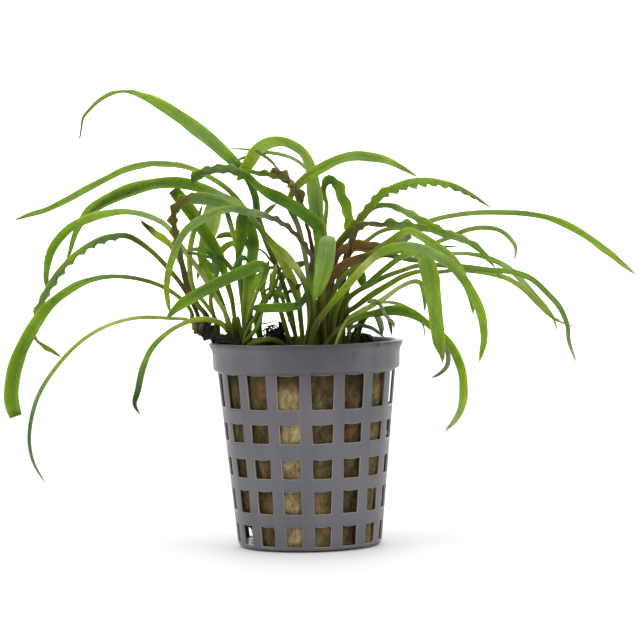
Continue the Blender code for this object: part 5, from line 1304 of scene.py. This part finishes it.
# Small leaves, curls and sheath ends too fine for solids: name, turn and seen route from the foot
SMALL_LEAVES = (
    ("link", (60, 60), (
        (-11.5, 75.5, 5, 0.6), (-10, 74.5, 5, 0.6), (-8.7, 72.7, 5, 0.6), (-8, 71.6, 5, 0.4))),
    ("blotch", (70, 70), ((-12.7, 65.3, -10, 1.2), (-11.9, 67.4, -10, 2.2), (-10.8, 69.9, -10, 2.4))),
    ("band", (60, 60), (
        (-7, 71.1, -2, 1.2), (-8.1, 68.1, -2, 1.5), (-8.6, 65, -2, 1.5), (-9, 62.2, -2, 1))),
    ("rise", (50, 50), (
        (-16.1, 51.4, -6, 0.9), (-13.7, 53.9, -6, 1.2), (-12.1, 56.1, -6, 1.2), (-11.1, 59.2, -6, 1))),
    ("arc", (60, 60), (
        (-17.7, 70.8, -8, 1.2), (-16.6, 72.9, -8, 1.5), (-15.4, 73.4, -8, 1.5),
        (-14.1, 72.3, -8, 0.8))),
    ("bar", (70, 70), (
        (-5.2, 70.2, 9, 1), (-3, 71, 9, 1.8), (-1.2, 71.4, 9, 1.8), (0.8, 72.2, 9, 1.4))),
    ("cross_band", (60, 60), ((-9.3, 70.5, 9, 0.7), (-7, 70.7, 9, 1), (-5.2, 69.9, 9, 0.8))),
    ("inner_stem", (60, 60), (
        (-4.3, 51, 8, 1), (-4.7, 53.4, 8, 1), (-5.8, 57.8, 8, 1.1), (-7.4, 62.4, 8, 1.2),
        (-8.4, 66.3, 8, 1.1), (-8.7, 69.6, 8, 0.8))),
    ("inner_twig", (60, 60), ((-10.5, 64.3, 6, 0.7), (-7.9, 66.3, 6, 0.7), (-6.3, 66.5, 6, 0.5))),
    ("dark_wedge", (70, 70), ((-3.8, 64.4, 5, 0.9), (-2, 65.6, 5, 1.5), (-0.7, 66.6, 5, 1.2))),
    ("foot_stem", (50, 50), (
        (-3.7, 50.4, 1, 1.3), (-4.6, 53.4, 1, 1.3), (-5.7, 57.4, 1, 1.3), (-6.9, 61.6, 1, 1.1),
        (-8.6, 66, 1, 0.8))),
    ("side_stem", (50, 50), (
        (-1.8, 50.4, 6, 1.1), (-2.8, 54, 6, 1.2), (-4.4, 59, 6, 1.2), (-6.2, 63.6, 6, 1),
        (-7.8, 67.2, 6, 0.8))),
    ("cross_stem", (60, 60), (
        (-16.2, 51.2, -5, 0.9), (-14.9, 55, -5, 0.9), (-12.6, 58.6, -5, 1.1), (-10, 62.4, -5, 1.1),
        (-7.6, 66.2, -5, 1), (-6.4, 69.4, -5, 0.7))),
    ("yellow_stem", (60, 60), (
        (-8.2, 60.4, 10, 0.9), (-6.6, 64.4, 10, 1.3), (-5.6, 68, 10, 1.4), (-4.6, 71.4, 10, 1.1))),
    ("lime_blade", (60, 60), (
        (-10.2, 62, 9, 1), (-10.8, 65.6, 9, 2), (-10.2, 69.4, 9, 2.4), (-9, 72.6, 9, 1.2))),
    ("red_sheath", (55, 55), (
        (2, 50.6, -7, 2.6), (2.4, 54.6, -7.4, 2.8), (3, 58.6, -7.8, 2.4), (4, 62.6, -8.2, 1.6))),
    ("slip", (60, 60), ((-10, 84.2, 1, 0.8), (-8.5, 85.7, 1, 1.3), (-6.7, 87.1, 1, 0.9))),
    ("olive_arc", (50, 50), (
        (-9.2, 99.8, 10, 0.9), (-12.8, 99.3, 10, 0.9), (-15.1, 98.8, 10, 0.9), (-16.9, 98.1, 10, 0.7))),
    ("grey_arc", (50, 50), (
        (-11.7, 100.5, -1, 1), (-9.5, 99.1, -1, 1), (-7.7, 97.6, -1, 0.9), (-6.5, 96.1, -1, 0.5),
        (-5.5, 94.8, -1, 0.4))),
    ("lower_arc", (60, 60), (
        (-29.6, 74.9, -6, 0.6), (-27.3, 74.6, -6, 0.9), (-25.3, 74, -6, 0.9), (-23.5, 73.5, -6, 0.8),
        (-22.3, 72.7, -6, 0.5))),
    ("lime_slope", (60, 60), (
        (-26.8, 74, 2, 1.2), (-25.1, 72.5, 2, 1.9), (-23.6, 70.9, 2, 1.8), (-22.1, 68.6, 2, 0.8))),
    ("green_strip", (60, 60), ((-22.2, 73.7, 0, 1.2), (-22.3, 71.4, 0, 1.7), (-22.1, 68.6, 0, 1.2))),
    ("dark_slope", (60, 60), (
        (-21.5, 73.9, -2, 0.8), (-20, 72.4, -2, 1.2), (-18.7, 70.8, -2, 1.2), (-17.5, 69.3, -2, 0.8))),
    ("lime_strip", (60, 60), (
        (-25.8, 75, 6, 1), (-26.3, 72.5, 6, 1.3), (-26.9, 70, 6, 1.1), (-27.7, 67.4, 6, 0.3))),
    ("sheath_left", (60, 60), (
        (-18.9, 51.7, -3, 2.2), (-19.1, 54, -3, 2.1), (-19.5, 56, -3, 1.7), (-20, 58.3, -3, 1.3))),
    ("sheath_middle", (60, 60), (
        (-17.6, 51.7, -2, 2), (-17.8, 54, -2, 1.9), (-18.1, 56.3, -2, 1.6), (-18.2, 59.1, -2, 1.2))),
    ("sheath_right", (60, 60), (
        (-16.6, 51.4, -1, 1.4), (-16.6, 53.9, -1, 1.3), (-17, 56.2, -1, 1.2), (-17.2, 58.8, -1, 1))),
    ("sheath_far", (60, 60), (
        (-15.5, 51.6, -3, 1.5), (-15.1, 54.4, -3, 1.4), (-14.5, 57, -3, 1.3), (-14.4, 59.8, -3, 1))),
    # A tiny leaf whose pale middle is a painted highlight on a small round blob by the stalk
    ("highlight_blob", (60, 60), ((16.5, 61.4, -8, 0.9), (17.6, 61.8, -8, 1.3), (18.6, 62, -8, 0.8))),
    ("brown_curl", (70, 70), (
        (-2.7, 91.1, -3, 1.2), (-1.5, 90.1, -3, 2.6), (-0.5, 88.6, -3, 2.6), (0, 87, -3, 1.2))),
    ("purple_curl", (70, 70), (
        (-6.8, 95.1, -1, 1.2), (-5.2, 94.5, -1, 2.4), (-4, 93.7, -1, 2.4), (-3.2, 92.4, -1, 1.2))),
    ("dark_curl", (70, 70), (
        (-24.6, 95, -9, 1.8), (-26.4, 94.7, -9, 2.6), (-27.7, 93.8, -9, 2.6), (-28.1, 92.4, -9, 1.2))),
)

# Dry hairs at leaf tips and thin roots: tone, radius and seen route
HAIRS = (
    ("dull_olive", 0.12, ((48.8, 68.9, -4), (49.8, 66.6, -4), (50.9, 64, -4))),
    ("deep", 0.14, ((-54.2, 83.5, 9), (-54.1, 82.5, 9), (-54.2, 81.5, 9))),
    ("slate", 0.09, ((-24, 91.3, -9), (-23.4, 92.3, -9), (-22.7, 93.2, -9))),
    ("brown", 0.20, ((-11.1, 56.4, 2), (-9.6, 56.6, 2), (-8, 57.1, 2), (-6.5, 57.8, 2))),
    ("brown", 0.18, ((-11.1, 54.6, 2), (-9.6, 55.3, 2), (-8.1, 56.1, 2), (-6.8, 56.8, 2))),
    ("brown", 0.18, ((-10.9, 53.3, 2), (-9.6, 54.1, 2), (-8.3, 55.1, 2))),
    ("dull_olive", 0.14, ((-13.4, 66.4, 3), (-10.6, 68.4, 3), (-7.4, 70, 3), (-4.6, 70.8, 3))),
    ("dark", 0.16, ((-12.4, 63.8, 3), (-9.8, 66.9, 3), (-7, 68.6, 3))),
    ("dark", 0.16, ((-3, 66.4, 4), (-4.4, 68, 4), (-6.6, 68.2, 4), (-8.4, 66.6, 4))),
    ("brown", 0.16, ((-10.4, 52.2, 2), (-9.2, 52.8, 2), (-7.8, 53, 2), (-6.8, 54.2, 2))),
    ("brown", 0.20, ((-3.6, 51.4, 2), (-3, 53.4, 2), (-3.4, 55.6, 2), (-4.6, 57.4, 2))),
    ("black", 0.40, ((-15, 55.7, 4), (-14.2, 57.2, 4), (-13.4, 58.5, 4))),
    ("black", 0.45, ((-14.6, 58.2, 5), (-14.2, 56.7, 5), (-14.5, 54.9, 5))),
    ("black", 0.50, ((-24.2, 54.1, -6), (-22.4, 53.7, -6), (-20.4, 53.3, -6), (-17.8, 52.4, -6))),
    ("black", 0.45, ((-23, 53.1, -8), (-21.9, 53, -8), (-19.9, 52.5, -8), (-17.3, 51.8, -8))),
    ("black", 0.40, ((-21.9, 52, -10), (-20.9, 52.1, -10), (-19.1, 51.7, -10), (-16.8, 51.4, -10))),
)

# Rhizome, old sheaths and root lumps: centres (x, y, z) and a radius at each
RHIZOME_ROUTE = (
    (-15.6, -2.4, 50.8, 1.3), (-18.2, -3.6, 51.2, 2.1), (-20.4, -4.0, 51.9, 2.1),
    (-22.3, -3.4, 53.2, 1.5), (-24.0, -2.8, 54.1, 1.6), (-25.4, -2.2, 55.2, 2.1),
    (-26.6, -1.8, 56.6, 2.2), (-27.3, -1.6, 57.6, 1.9), (-27.7, -1.5, 58.2, 1.2),
)
CROWN_ROUTE = ((-17.0, 2.0, 48.8, 3.0), (-17.0, 2.0, 49.8, 3.2), (-17.0, 2.0, 51.0, 3.3),
               (-17.0, 2.0, 52.4, 2.9), (-17.0, 2.0, 53.2, 1.8))
LUMP_ROUTE = ((-9.0, 3.6, 49.0, 1.9), (-8.6, 3.6, 50.8, 1.6), (-7.4, 3.6, 52.4, 1.1),
              (-6.6, 3.6, 53.8, 1.3), (-6.3, 3.6, 55.4, 0.9), (-6.8, 3.6, 56.8, 0.4))
# Each: name, route, sides, roughness, and tone at the start and at the end
RHIZOME = ("look_rhizome", RHIZOME_ROUTE, 36, 0.5, (0.13, 0.10, 0.06), (0.44, 0.40, 0.22))
CROWN = ("look_crown_left", CROWN_ROUTE, 40, 0.35, (0.24, 0.17, 0.09), (0.24, 0.17, 0.09))
ROOT_LUMP = ("look_root_lump", LUMP_ROUTE, 30, 0.8, (0.11, 0.08, 0.04), (0.11, 0.08, 0.04))
# Each: name, centre, reach each way, number of roots, seed and tone
LEFT_TANGLE = ("look_roots_left", (-7.9, 3.4, 49.4), (3.0, 2.0, 6.8), 70, 5, (0.13, 0.09, 0.05))
RIGHT_TANGLE = ("look_roots_right", (13.4, 7.1, 49.4), (3.9, 2.6, 4.2), 110, 8, (0.11, 0.09, 0.06))
ROOT_STEPS = 12
ROOT_TAPER = 0.55
HAIR_TAPER = 0.5
SMALL_SINK = 0.3


def lumpy_tube(name, route, sides, rough, tone, end_tone, material):
    """A rough tube with knobs, along centres (x, y, z) with a radius at each."""
    tone = np.array(linear(tone))
    end_tone = np.array(linear(end_tone))
    rows = smooth_route(route, TUBE_PITCH, TUBE_STATIONS)
    tangent = unit(np.gradient(rows[:, :3], axis=0))
    level = unit(np.cross(tangent, (0.0, 1.0, 0.0)))
    upper = np.cross(tangent, level)
    points = []
    tints = []
    for i, row in enumerate(rows):
        end = min(1.0, (i + 0.6) / 3.0, (len(rows) - i - 0.4) / 3.0) ** 0.5
        for k in range(sides):
            turn = 2 * math.pi * k / sides
            out = level[i] * math.cos(turn) + upper[i] * math.sin(turn)
            spot = Vector((row[:3] + out * row[3]) * 0.8)
            knob = noise.fractal(spot, 1.0, 2.0, 4)
            ring = 0.10 * math.sin(i * 0.9 + 0.6 * math.sin(turn))
            points.append((row[:3] + out * row[3] * end * (1 + rough * knob + ring)) * MM)
            light = 1.0 + 0.8 * noise.noise(spot * 1.7)
            share = smooth_step(0.72, 0.92, i / len(rows) + 0.10 * knob)
            tints.append((*((tone * (1 - share) + end_tone * share) * light), 1.0))
    return new_mesh(name, points, tube_faces(len(rows), sides), material, "tint", tints)


def root_tangle(name, centre, spread, count, seed, tone, material):
    """A tangle of dark roots that loop over one lump."""
    rng = np.random.default_rng(seed)
    threads = Threads(5)
    shares = [j / (ROOT_STEPS - 1) for j in range(ROOT_STEPS)]
    for i in range(count):
        start = rng.uniform(-1.0, 1.0, 3)
        aim = rng.uniform(0.0, 2 * math.pi)
        high = rng.uniform(0.35, 1.0)
        path = []
        for share in shares:
            run = (share - 0.5) * 1.5
            x = start[0] * 0.6 + run * math.cos(aim) + 0.2 * math.sin(5 * share + i)
            y = start[1] * 0.6 + run * math.sin(aim) + 0.2 * math.cos(4 * share + i)
            reach = max(1.0, math.hypot(x, y) / 0.95)
            path.append((centre[0] + spread[0] * x / reach, centre[1] + spread[1] * y / reach,
                         centre[2] + spread[2] * high * math.sin(math.pi * share)))
        thick = rng.uniform(0.10, 0.30)
        radii = [thick * (1 - ROOT_TAPER * share) for share in shares]
        threads.add(path, radii, np.array(linear(tone)) * rng.uniform(0.6, 1.9))
    return threads.finish(name, material)


def loose_threads(material):
    """Dry hairs at leaf tips and thin roots by the crown, each along its seen route."""
    threads = Threads(5)
    for tone, radius, route in HAIRS:
        knots = [(*seen_point(*spot), radius) for spot in route]
        path = smooth_route(knots, HAIR_PITCH, HAIR_STATIONS)
        last = len(path) - 1
        radii = [radius * (1 - HAIR_TAPER * i / last) for i in range(len(path))]
        threads.add(path[:, :3], radii, np.array(linear(TONES[tone])))
    return threads.finish("look_loose_threads", material)


def main_scene():
    materials = {tint: leaf_material(*values) for tint, values in LEAF_MATERIALS.items()}
    for index, (name, tint, foot, turn, route) in enumerate(LEAVES):
        thing = leaf_surface(name, foot, turn, route, index * 1.37 + 0.5, materials[tint])
        dress(thing, LEAF_MATERIALS[tint][0], name)
    dress(pot_surface(pot_material()), "pot", "pot")
    dress(wool_surface(wool_material()), "wool", "wool")
    dress(wool_fibres(thread_material("wool_fibre", 0.85)), "wool")
    bark = thread_material("bark", 0.75)
    root = thread_material("root", 0.6)
    dress(lumpy_tube(*RHIZOME, bark), "rhizome", "rhizome")
    for index, (name, turn, route) in enumerate(SMALL_LEAVES):
        thing = leaf_surface(name, seen_point(*route[0][:3]), turn, route[1:],
                             index * 0.91 + 0.2, materials["green"], SMALL_SINK)
        dress(thing, "leaf_green")
    dress(loose_threads(root), "roots")
    dress(lumpy_tube(*CROWN, bark), "rhizome", "crown_left")
    dress(root_tangle(*LEFT_TANGLE, root), "roots", "roots_left")
    dress(lumpy_tube(*ROOT_LUMP, bark), "roots")
    dress(root_tangle(*RIGHT_TANGLE, root), "roots", "roots_right")


# Lamps: name, place, aim, size and power
LAMPS = (
    ("lamp_top", (0.0, -0.1, 1.1), (0.0, 0.0, 0.05), (1.2, 1.0), 3.6),
    ("lamp_left", (-1.0, -0.55, 0.55), (0.0, 0.0, 0.07), (0.7, 0.9), 2.4),
    ("lamp_right", (1.0, -0.5, 0.5), (0.0, 0.0, 0.07), (0.7, 0.9), 2.0),
    ("lamp_back", (0.0, 0.75, 0.5), (0.0, 1.3, 0.6), (1.6, 0.5), 22.0),
)
WORLD_STRENGTH = 0.80

# Floor in metres: half its width, its front, where it starts to curve up, its back and its top
FLOOR_HALF_WIDTH = 2.5
FLOOR_FRONT, FLOOR_BEND, FLOOR_BACK, FLOOR_TOP = -1.6, 0.9, 1.4, 2.4
BEND_RADIUS = 0.5
FLOOR_DROP = 0.0003

# The photo's viewpoint: lens in millimetres, and how far the camera looks down and leans
LENS = 165.5
LOOK_DOWN = math.radians(2.48)
LEAN = math.radians(-1.17)


def lamp(name, place, aim, size, power):
    data = bpy.data.lights.new(name, "AREA")
    data.shape = "RECTANGLE"
    data.size, data.size_y = size
    data.energy = power
    thing = bpy.data.objects.new(name, data)
    thing.location = place
    thing.rotation_euler = (Vector(aim) - Vector(place)).to_track_quat("-Z", "Y").to_euler()
    bpy.context.scene.collection.objects.link(thing)


def pale_floor():
    """A pale paper floor that curves up behind."""
    rows = [(FLOOR_FRONT, 0.0), (FLOOR_BEND, 0.0)]
    rows += [(FLOOR_BEND + BEND_RADIUS * math.sin(a), BEND_RADIUS - BEND_RADIUS * math.cos(a))
             for a in np.linspace(0.15, 1.5, 12)]
    rows += [(FLOOR_BACK, FLOOR_TOP)]
    points = [(x, y, z - FLOOR_DROP) for y, z in rows
              for x in (-FLOOR_HALF_WIDTH, FLOOR_HALF_WIDTH)]
    faces = [(2 * i, 2 * i + 1, 2 * i + 3, 2 * i + 2) for i in range(len(rows) - 1)]
    s = Shader("floor_paper")
    s.surface(Base_Color=(0.90, 0.90, 0.90, 1.0), Roughness=0.8,
              Normal=s.bump(s.grain(40.0, 3.0, 0.5), 0.0002, 0.2))
    new_mesh("floor", points, faces, s.material)


def studio():
    """Pale floor, soft lamps above and beside, and the camera."""
    pale_floor()
    for values in LAMPS:
        lamp(*values)
    world = bpy.data.worlds.new("studio")
    bpy.context.scene.world = world
    world.use_nodes = True
    background = world.node_tree.nodes["Background"]
    background.inputs["Color"].default_value = (1.0, 1.0, 1.0, 1.0)
    background.inputs["Strength"].default_value = WORLD_STRENGTH
    data = bpy.data.cameras.new("camera")
    data.sensor_width = 36.0
    data.lens = LENS
    data.clip_start = 0.01
    camera = bpy.data.objects.new("camera", data)
    camera.location = (0.0037, -0.75, 0.0896)
    look = Vector((0.0, math.cos(LOOK_DOWN), -math.sin(LOOK_DOWN)))
    level = look.to_track_quat("-Z", "Y").to_matrix().to_4x4()
    camera.rotation_euler = (level @ Matrix.Rotation(LEAN, 4, "Z")).to_euler()
    bpy.context.scene.collection.objects.link(camera)
    bpy.context.scene.camera = camera
    bpy.context.scene.view_settings.view_transform = "Standard"


main_scene()
studio()
